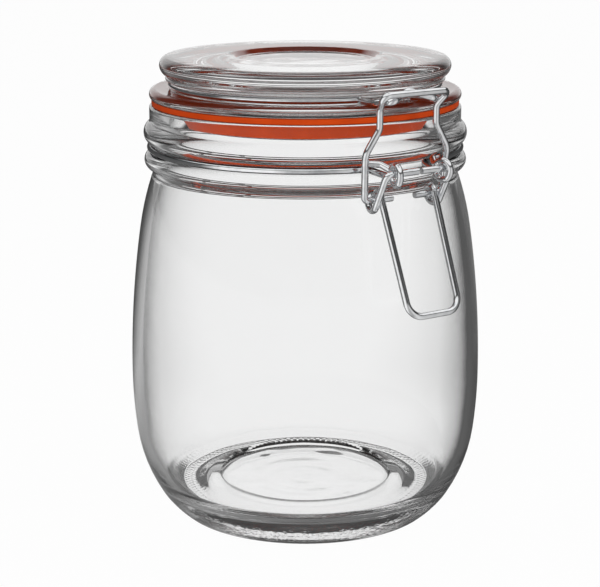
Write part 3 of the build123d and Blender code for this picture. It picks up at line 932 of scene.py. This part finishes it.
@dataclass
class GlassLid:
    """The lid: flange on the ring, groove of the wire under a ridge, top disc with its recess.

    Attributes:
        radius: radius of the flange.
        bottom: height of the flange's underside.
        top: height of the disc's top.
        ring: the rubber ring that it lies on.
    """

    radius: float
    bottom: float
    top: float
    ring: SealingRing
    flange: float = 3 * MM
    flange_waist: float = 1.1 * MM
    undercut: float = 0.5 * MM
    crown: float = 2.2 * MM
    groove_depth: float = 7.8 * MM
    groove_height: float = 2.3 * MM
    ridge_inset: float = 4.95 * MM
    ridge: float = 1.4 * MM
    disc_inset: float = 3.18 * MM
    waist_drop: float = 2.8 * MM
    hollow: Point2 = (0.9 * MM, 0.5 * MM)
    shoulder: Point2 = (0.55 * MM, 1.08 * MM)
    rounding: float = 2 * MM
    recess: float = 20.9 * MM
    recess_depth: float = 0.9 * MM
    recess_slope: float = 0.7 * MM
    rib_play: float = 0.15 * MM
    rib_overreach: float = 0.6 * MM
    rib_width: float = 4 * MM
    rib_rounding: float = 1.2 * MM
    dish_depth: float = 13.1 * MM
    dish_side: float = 5 * MM
    dish_bow: float = 1.4 * MM
    segments: int = 360

    def outline(self) -> list[Point2]:
        """Gives the half section, from the lip up the outside and down the middle."""
        rib = self.ring.inner - self.rib_play
        rib_bottom = self.ring.bottom - self.rib_overreach
        dish = rib - self.rib_width
        dish_top = rib_bottom + self.dish_depth
        flange_top = self.bottom + self.flange
        groove = self.radius - self.groove_depth
        ridge_bottom = flange_top + self.groove_height
        ridge_top = ridge_bottom + self.ridge
        ridge_radius = self.radius - self.ridge_inset
        half = self.ridge / 2
        disc = self.radius - self.disc_inset
        waist = self.top - self.waist_drop
        side = Outline((dish, rib_bottom))
        side.line((rib - self.rib_rounding, rib_bottom))
        side.tangent((rib, rib_bottom + self.rib_rounding))
        side.line((rib, self.ring.bottom + self.ring.skirt_rise + self.rib_play))
        side.line((self.ring.upper_fold, self.bottom))
        side.line((self.radius - self.undercut, self.bottom))
        side.through(
            (self.radius, self.bottom + self.flange_waist), (self.radius - self.crown, flange_top)
        )
        side.line((groove, flange_top))
        side.line((groove, ridge_bottom))
        side.line((ridge_radius - half, ridge_bottom))
        side.through((ridge_radius, ridge_bottom + half), (ridge_radius - half, ridge_top))
        middle = (ridge_top + waist) / 2
        side.through((disc - self.hollow[0], middle - self.hollow[1]), (disc, waist))
        side.through(
            (disc - self.shoulder[0], self.top - self.shoulder[1]), (disc - self.rounding, self.top)
        )
        side.line((self.recess + self.recess_slope, self.top))
        side.line((self.recess, self.top - self.recess_depth))
        side.line((0, self.top - self.recess_depth))
        side.line((0, dish_top), AXIS_RUN)
        side.line((dish - self.dish_side, dish_top))
        bow = (rib_bottom + dish_top) / 2 + self.dish_bow
        side.through((dish - self.dish_bow, bow), (dish, rib_bottom))
        return side.points[:-1]

    def build(self) -> None:
        """Builds the lid."""
        mesh = turned_mesh("glass_lid", self.outline(), self.segments)
        seat(add_piece("glass_lid", mesh, LID_GLASS.build()), Body.LID, Slot.LID_GLASS, "lid")


# ---------------------------------------------------------------- bent wire
def front(offset: float, reach: float, height: float) -> Vector:
    """Point of the closure, given across, out from the jar's axis and up."""
    return Vector((offset, -reach, height))


def flipped(points: Sequence[Vector]) -> list[Vector]:
    """The same path on the other side of the mid-plane."""
    return [Vector((-p.x, p.y, p.z)) for p in points]


def ring_end(radius: float, height: float, offset: float, run: float, rear: bool) -> list[Vector]:
    """End of a ring of wire and the corner where it turns away.

    Args:
        radius: radius of the ring.
        height: height of the ring.
        offset: how far from the mid-plane the ring ends.
        run: how far its own line runs on to the corner.
        rear: whether this is the hinge's side.

    Returns:
        The ring's last point and the corner.
    """
    way = 1 if rear else -1
    depth = math.sqrt(radius**2 - offset**2)
    return [
        Vector((offset, way * depth, height)),
        Vector((offset - run * depth / radius, way * (depth + run * offset / radius), height)),
    ]


def ring_arc(radius: float, height: float, start: Vector, end: Vector) -> list[Vector]:
    """Points on a ring between two of its points, the short way round, without its ends."""
    first, last = math.atan2(start.y, start.x), math.atan2(end.y, end.x)
    turn = (last - first + math.pi) % (2 * math.pi) - math.pi
    count = math.ceil(abs(turn) / RING_TURN)
    angles = [first + turn * index / count for index in range(1, count)]
    return [Vector((radius * math.cos(a), radius * math.sin(a), height)) for a in angles]


def bent(
    corners: Sequence[Vector], bends: Sequence[float], step: float = math.radians(7)
) -> list[Vector]:
    """Rounds the corners of a wire's path.

    Args:
        corners: the path's ends and corners.
        bends: bend radius of each corner.
        step: largest turn between two points.

    Returns:
        The path's points.
    """
    points = [corners[0]]
    for before, corner, after, bend in zip(corners, corners[1:], corners[2:], bends):
        back, ahead = (before - corner).normalized(), (after - corner).normalized()
        turn = math.pi - back.angle(ahead)
        cut = bend * math.tan(turn / 2)
        bisector = (back + ahead).normalized()
        centre = corner + bisector * (bend / math.cos(turn / 2))
        spoke = corner + back * cut - centre
        axis = spoke.cross(corner + ahead * cut - centre).normalized()
        count = max(2, math.ceil(turn / step))
        for index in range(count + 1):
            points.append(centre + Matrix.Rotation(turn * index / count, 3, axis) @ spoke)
    points.append(corners[-1])
    return points


def wire_tree() -> bpy.types.NodeTree:
    """Builds the Geometry Nodes tree that draws a round wire along a chain of edges."""
    tree = bpy.data.node_groups.new("drawn wire", "GeometryNodeTree")
    nodes = Nodes(tree)
    sockets = (
        ("Path", "INPUT", "NodeSocketGeometry"),
        ("Wire Radius", "INPUT", "NodeSocketFloat"),
        ("Sides", "INPUT", "NodeSocketInt"),
        ("Cut Rounding", "INPUT", "NodeSocketFloat"),
        ("Finish", "INPUT", "NodeSocketMaterial"),
        ("Wire", "OUTPUT", "NodeSocketGeometry"),
    )
    for name, way, kind in sockets:
        tree.interface.new_socket(name, in_out=way, socket_type=kind)
    given = nodes.add("NodeGroupInput").outputs
    curve = nodes.add("GeometryNodeMeshToCurve", {"Mesh": given["Path"]})
    place = nodes.add("GeometryNodeSplineParameter").outputs["Length"]
    whole = nodes.add("GeometryNodeSplineLength").outputs["Length"]
    share = nodes.add("ShaderNodeMapRange", {
        "Value": nodes.math("MINIMUM", place, nodes.math("SUBTRACT", whole, place)),
        "From Max": given["Cut Rounding"],
        "To Min": END_SHARE,
        "To Max": 1.0,
    }, interpolation_type="SMOOTHERSTEP")
    thick = nodes.add("GeometryNodeSetCurveRadius", {
        "Curve": curve.outputs["Curve"], "Radius": share.outputs["Result"]
    })
    section = nodes.add("GeometryNodeCurvePrimitiveCircle", {
        "Radius": given["Wire Radius"], "Resolution": given["Sides"]
    })
    sweep = nodes.add("GeometryNodeCurveToMesh", {
        "Curve": thick.outputs["Curve"],
        "Profile Curve": section.outputs["Curve"],
        "Fill Caps": True,
    })
    smooth = nodes.add("GeometryNodeSetShadeSmooth", {"Geometry": sweep.outputs["Mesh"]})
    real = nodes.add("GeometryNodeRealizeInstances", {"Geometry": smooth.outputs["Geometry"]})
    dress = nodes.add("GeometryNodeSetMaterial", {
        "Geometry": real.outputs["Geometry"], "Material": given["Finish"]
    })
    nodes.add("NodeGroupOutput", {"Wire": dress.outputs["Geometry"]})
    return tree


@dataclass
class WireShop:
    """Draws every wire of the closure from its path.

    Attributes:
        radius: half the wire's diameter.
        sides: number of sides of its round section.
        cut: length over which a cut end is rounded.
    """

    radius: float = 1 * MM
    sides: int = 24
    cut: float = 0.45 * MM
    tree: bpy.types.NodeTree = field(default_factory=wire_tree)
    material: bpy.types.Material = field(default_factory=CLIP_WIRE.build)

    def draw(self, name: str, path: Sequence[Vector], body: Body, node: str) -> None:
        """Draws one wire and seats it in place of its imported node.

        Args:
            name: the piece's name.
            path: points along the middle of the wire.
            body: the body that carries it.
            node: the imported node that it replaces.
        """
        points = self.with_cut_ends(path)
        chain = bpy.data.meshes.new(name + "_path")
        chain.from_pydata(points, [(i, i + 1) for i in range(len(points) - 1)], [])
        helper = bpy.data.objects.new(name + "_path", chain)
        bpy.context.scene.collection.objects.link(helper)
        modifier = helper.modifiers.new("wire", "NODES")
        modifier.node_group = self.tree
        values = {
            "Wire Radius": self.radius,
            "Sides": self.sides,
            "Cut Rounding": self.cut,
            "Finish": self.material,
        }
        for item in self.tree.interface.items_tree:
            if item.in_out == "INPUT" and item.name in values:
                modifier[item.identifier] = values[item.name]
        bpy.context.view_layer.update()
        depsgraph = bpy.context.evaluated_depsgraph_get()
        mesh = bpy.data.meshes.new_from_object(helper.evaluated_get(depsgraph), depsgraph=depsgraph)
        mesh.name = name
        helper.modifiers.clear()
        bpy.data.objects.remove(helper)
        seat(add_piece(name, mesh, self.material), body, Slot.WIRE, node)

    def with_cut_ends(self, path: Sequence[Vector]) -> list[Vector]:
        """Adds close points at both ends of a path, where the cut is rounded."""
        points = [Vector(p) for p in path]
        for _ in range(2):
            way = (points[1] - points[0]).normalized()
            close = [points[0] + way * self.cut * share for share in (0.25, 0.5, 0.75, 1.0)]
            points = [points[0]] + close + points[1:]
            points.reverse()
        return points


@dataclass
class Closure:
    """Places and sizes that the wires share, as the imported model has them.

    Attributes:
        wire: wire diameter.
        neck_radius: radius of the neck wire.
        neck_height: height of the neck wire.
        lid_radius: radius of the lid wire in its groove.
        lid_height: height of the lid wire.
        flange_radius: radius of the lid's flange, which the catch's legs pass.
        coil_reach: middle of the lever's coils, out from the jar's axis.
    """

    neck_radius: float
    neck_height: float
    lid_radius: float
    lid_height: float
    flange_radius: float
    coil_reach: float
    wire: float = 2 * MM
    play: float = 0.05 * MM
    side_play: float = 0.15 * MM
    arm_lead: float = 7.4 * MM
    arm_rise: float = 8.7 * MM
    axle_rise: float = 0.1 * MM
    handle_offset: float = 9.25 * MM
    handle_taper: float = 0.4 * MM
    handle_lead: float = 15.6 * MM
    handle_drop: float = 30.8 * MM
    handle_bend: float = 4.5 * MM
    stub_gap: float = 1.2 * MM
    axle_bend: float = 1.8 * MM
    coil_play: float = 0.5 * MM
    coil_steps: int = 6
    eye_play: float = 0.7 * MM
    eye_gap: float = 0.2 * MM
    eye_entry: float = math.radians(135)
    eye_steps: int = 6
    eye_splay: float = math.radians(12)
    eye_backset: float = 3.2 * MM
    eye_root: float = 4.1 * MM
    eye_leg_bend: float = 1.3 * MM
    root_run: float = 2.4 * MM
    root_bend: float = 2 * MM
    inner_root: float = 3 * MM
    tail_bend: float = 1.2 * MM
    tail_corner: Point2 = (1 * MM, 5.9 * MM)
    tail_end: Point2 = (3.9 * MM, 7.6 * MM)
    tail_lift: float = 0.3 * MM
    hinge_standoff: float = 6.8 * MM
    hinge_leg_play: float = 1 * MM
    hinge_leg_root: float = 3.5 * MM
    hinge_root_run: float = 2.6 * MM
    hinge_pin_end: float = 3 * MM
    hinge_bends: Sequence[float] = (2.2 * MM, 3 * MM, 1.5 * MM)
    foot_play: float = 0.2 * MM
    pin_gap: float = 0.15 * MM
    pin_end: float = 4 * MM
    pin_bend: float = 1.4 * MM
    hip: Point3 = (0.8 * MM, 1.3 * MM, 4.9 * MM)
    waist_offset: float = 9.9 * MM
    waist_lead: float = 1.8 * MM
    waist_rise: float = 11.9 * MM
    knee_drop: float = 4.5 * MM
    bar_overhang: float = 4 * MM
    bar_lead: float = 5.7 * MM
    link_bends: Sequence[float] = (1.8 * MM, 3 * MM, 3.5 * MM, 5 * MM)
    catch_setback: float = 1.65 * MM
    catch_play: float = 0.15 * MM
    catch_foot: float = 7.4 * MM
    catch_foot_rise: float = 0.9 * MM
    catch_foot_lead: float = 0.6 * MM
    catch_spread: float = 1.7 * MM
    catch_leg_inset: float = 0.35 * MM
    catch_root: float = 3.1 * MM
    catch_root_run: float = 2 * MM
    catch_bends: Sequence[float] = (2 * MM, 1.3 * MM, 3 * MM, 1.6 * MM)
    arch_depth: float = 4.1 * MM
    arch_rise: float = 0.2 * MM

    def __post_init__(self) -> None:
        """Works out the places that follow from the sizes."""
        self.half = self.wire / 2
        self.coil_radius = self.wire + self.coil_play
        self.axle_reach = self.coil_reach + self.arm_lead
        self.axle_height = self.neck_height + self.axle_rise
        self.coil_height = self.axle_height - self.arm_rise
        self.arm_offset = self.handle_offset + self.wire + self.side_play
        self.eye_radius = self.wire + self.eye_play
        self.eye_offset = self.arm_offset - self.eye_backset
        self.eye_root_offset = self.eye_offset + self.eye_root
        self.catch_height = self.lid_height + self.catch_foot_rise
        self.bar_height = self.catch_height + self.wire + self.catch_play
        self.bar_reach = self.coil_reach + self.bar_lead
        self.hinge_reach = self.neck_radius + self.hinge_standoff

    def eye(self, reach: float, rear: bool) -> list[Vector]:
        """Corners of an eye of the neck wire, from its lower leg round to its upper leg.

        Args:
            reach: middle of the eye, out from the jar's axis.
            rear: whether this is the hinge's side.

        Returns:
            The corners.
        """
        way = 1 if rear else -1
        leg = self.half + self.play
        entry, radius = self.eye_entry, self.eye_radius
        corner = radius * math.cos(entry) - (radius * math.sin(entry) - leg)
        step = 2 * entry / self.eye_steps
        round_end = radius / math.cos(step / 2)
        local = [(corner, -leg)]
        for index in reversed(range(self.eye_steps)):
            angle = entry - (index + 0.5) * step
            local.append((round_end * math.cos(angle), round_end * math.sin(angle)))
        local.append((corner, leg))
        height = self.axle_height - self.eye_play + self.eye_gap
        aside, ahead = math.sin(self.eye_splay), math.cos(self.eye_splay)
        return [
            Vector((self.eye_offset + out * aside, way * (reach + out * ahead), height + up))
            for out, up in local
        ]

    def neck_wire(self) -> list[Vector]:
        """Path of the neck wire, from one cut end over the eyes and the back to the other."""
        radius, height = self.neck_radius, self.neck_height
        loop = [self.eye_radius * SNUG] * self.eye_steps
        bends = [self.root_bend, self.eye_leg_bend, *loop, self.eye_leg_bend, self.tail_bend]
        tail = [
            front(self.eye_offset + across, self.axle_reach - back, height + self.wire + lift)
            for (across, back), lift in ((self.tail_corner, 0.0), (self.tail_end, self.tail_lift))
        ]
        root = ring_end(radius, height, self.eye_root_offset, self.root_run, rear=False)
        front_half = bent(root + self.eye(self.axle_reach, rear=False) + tail, bends)
        rear_root = ring_end(radius, height, self.eye_root_offset, self.root_run, rear=True)
        inner = flipped(ring_end(radius, height, -self.inner_root, self.root_run, rear=True))[::-1]
        rear_half = bent(rear_root + self.eye(self.hinge_reach, rear=True) + inner, bends)
        side = ring_arc(radius, height, front_half[0], rear_half[0])
        right = front_half[::-1] + side + rear_half
        middle = ring_arc(radius, height, rear_half[-1], flipped([rear_half[-1]])[0])
        return right + middle + flipped(right)[::-1]

    def lid_wire(self) -> list[Vector]:
        """Path of the lid wire, from one hinge pin round the groove and catch to the other."""
        radius, height = self.lid_radius, self.lid_height
        foot_reach = self.bar_reach - self.catch_setback
        leg_reach = self.flange_radius - self.catch_leg_inset
        half = [
            front(0, self.bar_reach - self.arch_depth, self.bar_height + self.arch_rise),
            front(self.catch_foot, foot_reach + self.catch_foot_lead, self.catch_height),
            front(self.catch_foot + self.catch_spread, leg_reach, height),
        ]
        root_offset = self.catch_foot + self.catch_root
        half += ring_end(radius, height, root_offset, self.catch_root_run, rear=False)[::-1]
        bends = self.catch_bends
        catch = bent(flipped(half)[:0:-1] + half, bends[:0:-1] + bends)
        leg = self.eye_offset + self.wire + self.hinge_leg_play
        hinge = ring_end(radius, height, leg + self.hinge_leg_root, self.hinge_root_run, rear=True)
        hinge += [
            Vector((leg, self.hinge_reach, height)),
            Vector((leg, self.hinge_reach, self.axle_height)),
            Vector((self.hinge_pin_end, self.hinge_reach, self.axle_height)),
        ]
        hinge = bent(hinge, self.hinge_bends)
        right = hinge[::-1] + ring_arc(radius, height, hinge[0], catch[-1])
        return right + catch[::-1] + flipped(right)[::-1]

    def lever(self) -> list[Vector]:
        """Path of the lever, from one axle end round its coil and the handle to the other."""
        heading = math.atan2(-self.arm_rise, -self.arm_lead)
        heading += math.atan2(self.coil_radius, math.hypot(self.arm_lead, self.arm_rise))
        leg_heading = math.atan2(-self.handle_drop, self.handle_lead)
        turn = 2 * math.pi - (leg_heading - heading)
        step = turn / self.coil_steps
        corner = self.coil_radius / math.cos(step / 2)
        coil = []
        for index in range(self.coil_steps):
            place = heading + math.pi / 2 - (index + 0.5) * step
            share = (index + 0.5) / self.coil_steps
            across = self.arm_offset + (self.handle_offset - self.arm_offset) * share
            reach = self.coil_reach + corner * math.cos(place)
            coil.append(front(across, reach, self.coil_height + corner * math.sin(place)))
        half = [
            front(
                self.handle_offset - self.handle_taper,
                self.coil_reach + self.handle_lead,
                self.coil_height - self.handle_drop,
            ),
            *coil[::-1],
            front(self.arm_offset, self.axle_reach, self.axle_height),
            front(self.stub_gap / 2, self.axle_reach, self.axle_height),
        ]
        bends = [self.handle_bend, *[self.coil_radius * SNUG] * self.coil_steps, self.axle_bend]
        return bent(flipped(half)[::-1] + half, bends[::-1] + bends)

    def link(self) -> list[Vector]:
        """Path of the link, from one pin up to the bar and down to the other pin."""
        foot = self.arm_offset + self.wire + self.foot_play
        pin_height = self.coil_height + self.coil_play - self.pin_gap
        waist_reach = self.coil_reach + self.waist_lead
        across, lead, rise = self.hip
        half = [
            front(self.catch_foot + self.bar_overhang, self.bar_reach, self.bar_height),
            front(self.waist_offset, waist_reach, self.bar_height - self.knee_drop),
            front(self.waist_offset, waist_reach, self.axle_height + self.waist_rise),
            front(foot + across, self.coil_reach + lead, self.axle_height + rise),
            front(foot, self.coil_reach, pin_height),
            front(self.pin_end, self.coil_reach, pin_height),
        ]
        bends = [*self.link_bends, self.pin_bend]
        return bent(flipped(half)[::-1] + half, bends[::-1] + bends)

    def build(self) -> None:
        """Builds the four wires."""
        shop = WireShop(radius=self.half)
        shop.draw("neck_bail", self.neck_wire(), Body.JAR, "neck_wire")
        shop.draw("lid_bail", self.lid_wire(), Body.LID, "lid_wire")
        shop.draw("clip_lever", self.lever(), Body.LEVER, "lever")
        shop.draw("clip_link", self.link(), Body.LINK, "link")


# ---------------------------------------------------------------- studio
@dataclass
class Studio:
    """Pale floor, soft light and the camera.

    Attributes:
        azimuth: camera's place round the jar, from the front.
        distance: from the jar's axis.
        height: of the camera above the floor.
        pitch: how far it looks down.
        lens: focal length in millimetres on a 36 mm wide sensor.
        shift: sideways shift of the lens.
        floor_radius: radius of the floor.
        floor_sides: number of its sides.
        floor_paint: how pale it is.
        near_floor: radius up to which the floor behind glass is white whatever stands round it.
        far_floor: radius from which it takes the brightness of the walls.
        floor_glow: share of the floor's look that no shadow reaches.
        lamp_light: strength of the room's own light.
        lamp_aim: height that the lamps face.
        lamps: name, place, side and power in watts of each lamp.
        seen_through: the walls' brightness behind glass, by bearing in degrees to the right.
        glazed: the walls' brightness mirrored by glass.
        glazed_floor: the far floor's brightness mirrored by glass.
        mirrored: the walls' brightness mirrored by metal.
        seen_above: brightness behind glass by height in degrees.
        glazed_above: the same mirrored by glass.
        mirrored_above: the same mirrored by metal.
        lights_above: brightness of the overhead light in metal, by height in degrees.
    """

    azimuth: float = math.radians(-34)
    distance: float = 0.530
    height: float = 0.2008
    pitch: float = math.radians(14.15)
    lens: float = 105.0
    shift: float = -0.0087
    floor_radius: float = 3.0
    floor_sides: int = 64
    floor_paint: float = 0.86
    near_floor: float = 0.09
    far_floor: float = 0.17
    floor_glow: float = 0.97
    lamp_light: float = 0.35
    lamp_aim: float = 0.07
    lamps: Sequence[tuple[str, Point3, float, float]] = (
        ("key lamp", (-1.0, -0.9, 0.55), 0.8, 11.0),
        ("fill lamp", (0.8, -1.1, 0.45), 0.7, 7.0),
    )
    seen_through: Sequence[Point2] = (
        (-180, 1), (-70, 1), (-50, 0.9), (-32, 0.9), (-14, 1),
        (10, 1), (32, 0.8), (48, 0.8), (75, 1), (180, 1),
    )
    glazed: Sequence[Point2] = (
        (-180, 0.05), (-44, 0.12), (-30, 1), (24, 1), (38, 0.12), (180, 0.05),
    )
    glazed_floor: Sequence[Point2] = (
        (-180, 0.15), (-60, 0.35), (-46, 0.55), (-38, 0.4), (-30, 0.12), (-12, 0.06),
        (10, 0.06), (17, 0.25), (26, 0.22), (34, 0.08), (50, 0.1), (180, 0.15),
    )
    mirrored: Sequence[Point2] = (
        (-180, 0.5), (-170, 0.5), (-158, 1), (-118, 1), (-102, 0.12), (-30, 0.06),
        (88, 0.06), (104, 0.5), (140, 0.8), (166, 0.4), (180, 0.5),
    )
    seen_above: Sequence[Point2] = ((-90, 1), (6, 1), (17, 0.06), (90, 0.06))
    glazed_above: Sequence[Point2] = (
        (-90, 1), (26, 1), (33, 0.06), (50, 0.1), (75, 0.4), (90, 0.4),
    )
    mirrored_above: Sequence[Point2] = ((-90, 1), (18, 1), (24, 0.1), (90, 0.1))
    lights_above: Sequence[Point2] = ((-90, 0), (32, 0), (38, 1), (76, 1), (82, 0.3), (90, 0.3))

    def camera(self) -> None:
        """Places the camera."""
        data = bpy.data.cameras.new("camera")
        data.lens = self.lens
        data.sensor_width = 36.0
        data.shift_x = self.shift
        data.clip_start = 0.01
        data.clip_end = 20.0
        camera = bpy.data.objects.new("camera", data)
        camera.location = (
            self.distance * math.sin(self.azimuth),
            -self.distance * math.cos(self.azimuth),
            self.height,
        )
        camera.rotation_euler = (math.pi / 2 - self.pitch, 0.0, self.azimuth)
        bpy.context.scene.collection.objects.link(camera)
        bpy.context.scene.camera = camera

    def sector(self, nodes: Nodes, way: Socket) -> Socket:
        """Gives the compass bearing of a direction, from 0 to 1, with 0.5 behind the jar.

        Args:
            nodes: the tree to add to.
            way: the direction, of any length.

        Returns:
            The bearing.
        """
        x, y = nodes.split(way, "X"), nodes.split(way, "Y")
        east, north = -math.sin(self.azimuth), math.cos(self.azimuth)
        depth = nodes.math("MULTIPLY_ADD", x, east, nodes.math("MULTIPLY", y, north))
        right = nodes.math("MULTIPLY_ADD", x, north, nodes.math("MULTIPLY", y, -east))
        turn = nodes.math("ARCTAN2", right, depth)
        return nodes.math("MULTIPLY_ADD", turn, 1 / (2 * math.pi), 0.5)

    def walls(self, nodes: Nodes, way: Socket, glazed: Sequence[Point2]) -> list[Socket]:
        """Gives the brightness round the jar: seen through glass, mirrored by glass and by metal.

        Args:
            nodes: the tree to add to.
            way: the direction that the wall stands in.
            glazed: the brightness mirrored by glass, by bearing.

        Returns:
            The three brightnesses.
        """
        bearing = self.sector(nodes, way)
        return [
            nodes.levels(bearing, [(degrees / 360 + 0.5, value) for degrees, value in stops])
            for stops in (self.seen_through, glazed, self.mirrored)
        ]

    def by_ray(
        self, nodes: Nodes, sight: bpy.types.Node, through: Socket, glazed: Socket, mirrored: Socket
    ) -> Socket:
        """Picks a brightness for the kind of ray.

        Args:
            nodes: the tree to add to.
            sight: the tree's Light Path node.
            through: brightness for light that glass only lets through.
            glazed: brightness for light that glass mirrors, outside or inside.
            mirrored: brightness for light that metal mirrors.

        Returns:
            The brightness.
        """
        straight = nodes.math("LESS_THAN", sight.outputs["Glossy Depth"], 0.5)
        passed = nodes.math("MULTIPLY", sight.outputs["Is Transmission Ray"], straight)
        level = mirrored
        for value, share in ((glazed, sight.outputs["Is Singular Ray"]), (through, passed)):
            change = nodes.math("SUBTRACT", value, level)
            level = nodes.math("MULTIPLY_ADD", share, change, level)
        return level

    def floor_material(self) -> bpy.types.Material:
        """Builds the pale floor's finish: white behind the glass, with a faint shadow."""
        material, nodes = new_material("pale floor")
        place = nodes.add("ShaderNodeTexCoord").outputs["Object"]
        reach = nodes.add("ShaderNodeVectorMath", {"Vector": place}, operation="LENGTH")
        far = nodes.rise(reach.outputs["Value"], self.near_floor, self.far_floor)
        sight = nodes.add("ShaderNodeLightPath")
        through, *mirrored = self.walls(nodes, place, self.glazed_floor)
        through = nodes.math("MULTIPLY_ADD", far, nodes.math("SUBTRACT", through, 1.0), 1.0)
        straight = sight.outputs["Is Camera Ray"]
        level = nodes.math("MAXIMUM", straight, self.by_ray(nodes, sight, through, *mirrored))
        seen = nodes.math("MAXIMUM", straight, sight.outputs["Is Glossy Ray"])
        seen = nodes.math("MAXIMUM", seen, sight.outputs["Is Transmission Ray"])
        paint = nodes.add("ShaderNodeBsdfDiffuse", {"Color": (*(self.floor_paint,) * 3, 1.0)})
        glow = nodes.add("ShaderNodeEmission", {"Strength": level})
        share = nodes.math("MULTIPLY", seen, self.floor_glow)
        nodes.finish(nodes.blend(share, paint.outputs["BSDF"], glow.outputs["Emission"]))
        return material

    def floor(self) -> None:
        """Lays the pale floor."""
        mesh = bpy.data.meshes.new("floor")
        turns = [2 * math.pi * index / self.floor_sides for index in range(self.floor_sides)]
        radius = self.floor_radius
        ring = [(radius * math.cos(turn), radius * math.sin(turn), 0.0) for turn in turns]
        mesh.from_pydata(ring, [], [tuple(range(self.floor_sides))])
        mesh.materials.append(self.floor_material())
        floor = bpy.data.objects.new("floor", mesh)
        bpy.context.scene.collection.objects.link(floor)
        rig.stage(floor)

    def surroundings(self) -> None:
        """Surrounds the jar with a white room, dark beside it and overhead."""
        world = bpy.data.worlds.new("studio")
        bpy.context.scene.world = world
        world.use_nodes = True
        nodes = Nodes(world.node_tree)
        way = nodes.add("ShaderNodeTexCoord").outputs["Generated"]
        rise = nodes.math("MULTIPLY_ADD", nodes.split(way, "Z"), 0.5, 0.5)
        above = []
        for stops in (self.seen_above, self.glazed_above, self.mirrored_above, self.lights_above):
            heights = [0.5 + 0.5 * math.sin(math.radians(degrees)) for degrees, _ in stops]
            above.append(nodes.levels(rise, [(at, stop[1]) for at, stop in zip(heights, stops)]))
        walls = self.walls(nodes, way, self.glazed)
        levels = [nodes.math("MULTIPLY", wall, height) for wall, height in zip(walls, above)]
        levels[-1] = nodes.math("MAXIMUM", levels[-1], above[-1])
        sight = nodes.add("ShaderNodeLightPath")
        strengths = (self.lamp_light, self.by_ray(nodes, sight, *levels), 1.0)
        light, room, backdrop = (
            nodes.add("ShaderNodeBackground", {"Color": WHITE, "Strength": value})
            .outputs["Background"]
            for value in strengths
        )
        glossy, passed = sight.outputs["Is Glossy Ray"], sight.outputs["Is Transmission Ray"]
        inside = nodes.blend(nodes.math("MAXIMUM", glossy, passed), light, room)
        seen = nodes.blend(sight.outputs["Is Camera Ray"], inside, backdrop)
        nodes.finish(seen, "ShaderNodeOutputWorld")

    def lamp(self, name: str, place: Vector, size: float, power: float) -> None:
        """Hangs a soft square lamp that faces the jar.

        Args:
            name: the lamp's name.
            place: where it hangs.
            size: its side.
            power: its power in watts.
        """
        data = bpy.data.lights.new(name, "AREA")
        data.size = size
        data.energy = power
        lamp = bpy.data.objects.new(name, data)
        lamp.location = place
        aim = place - Vector((0, 0, self.lamp_aim))
        lamp.rotation_euler = aim.to_track_quat("Z", "Y").to_euler()
        lamp.visible_glossy = False
        lamp.visible_transmission = False
        bpy.context.scene.collection.objects.link(lamp)

    def build(self) -> None:
        """Builds the studio."""
        self.camera()
        self.floor()
        self.surroundings()
        for name, place, size, power in self.lamps:
            self.lamp(name, Vector(place), size, power)
        scene = bpy.context.scene
        scene.view_settings.view_transform = "Standard"
        scene.cycles.max_bounces = 32
        scene.cycles.transmission_bounces = 28
        scene.cycles.glossy_bounces = 8
        LOG.info("studio ready")


def main() -> None:
    """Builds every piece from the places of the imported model."""
    logging.basicConfig(level=logging.INFO, format="%(name)s: %(message)s")
    cad_box = [list(corner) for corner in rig.bounds()]
    Studio().build()
    jar, lid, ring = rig.box("jar"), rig.box("lid"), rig.box("gasket")
    radius, rim_height = jar[1].x, jar[1].z
    body = GlassBody(radius, rim_height)
    body.build()
    rim = radius - body.rim_inset
    rubber = SealingRing(ring[1].x, rim_height, rim - body.rim_width - FOLD_PLAY)
    rubber.build()
    glass_lid = GlassLid(lid[1].x, ring[1].z, lid[1].z, rubber)
    glass_lid.build()
    Closure(
        neck_radius=rim - NECK_WIRE_SINK,
        neck_height=rim_height - body.wire_drop,
        lid_radius=glass_lid.radius - glass_lid.groove_depth + LID_WIRE_SEAT,
        lid_height=glass_lid.bottom + glass_lid.flange + LID_WIRE_SEAT,
        flange_radius=glass_lid.radius,
        coil_reach=rim - body.shoulder_inset + COIL_STANDOFF,
    ).build()
    boxes = {"cad": cad_box, "visual": [list(corner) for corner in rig.bounds()]}
    with open(SIZE_FILE, "w") as file:
        json.dump(boxes, file)


if __name__ == "__main__":
    main()
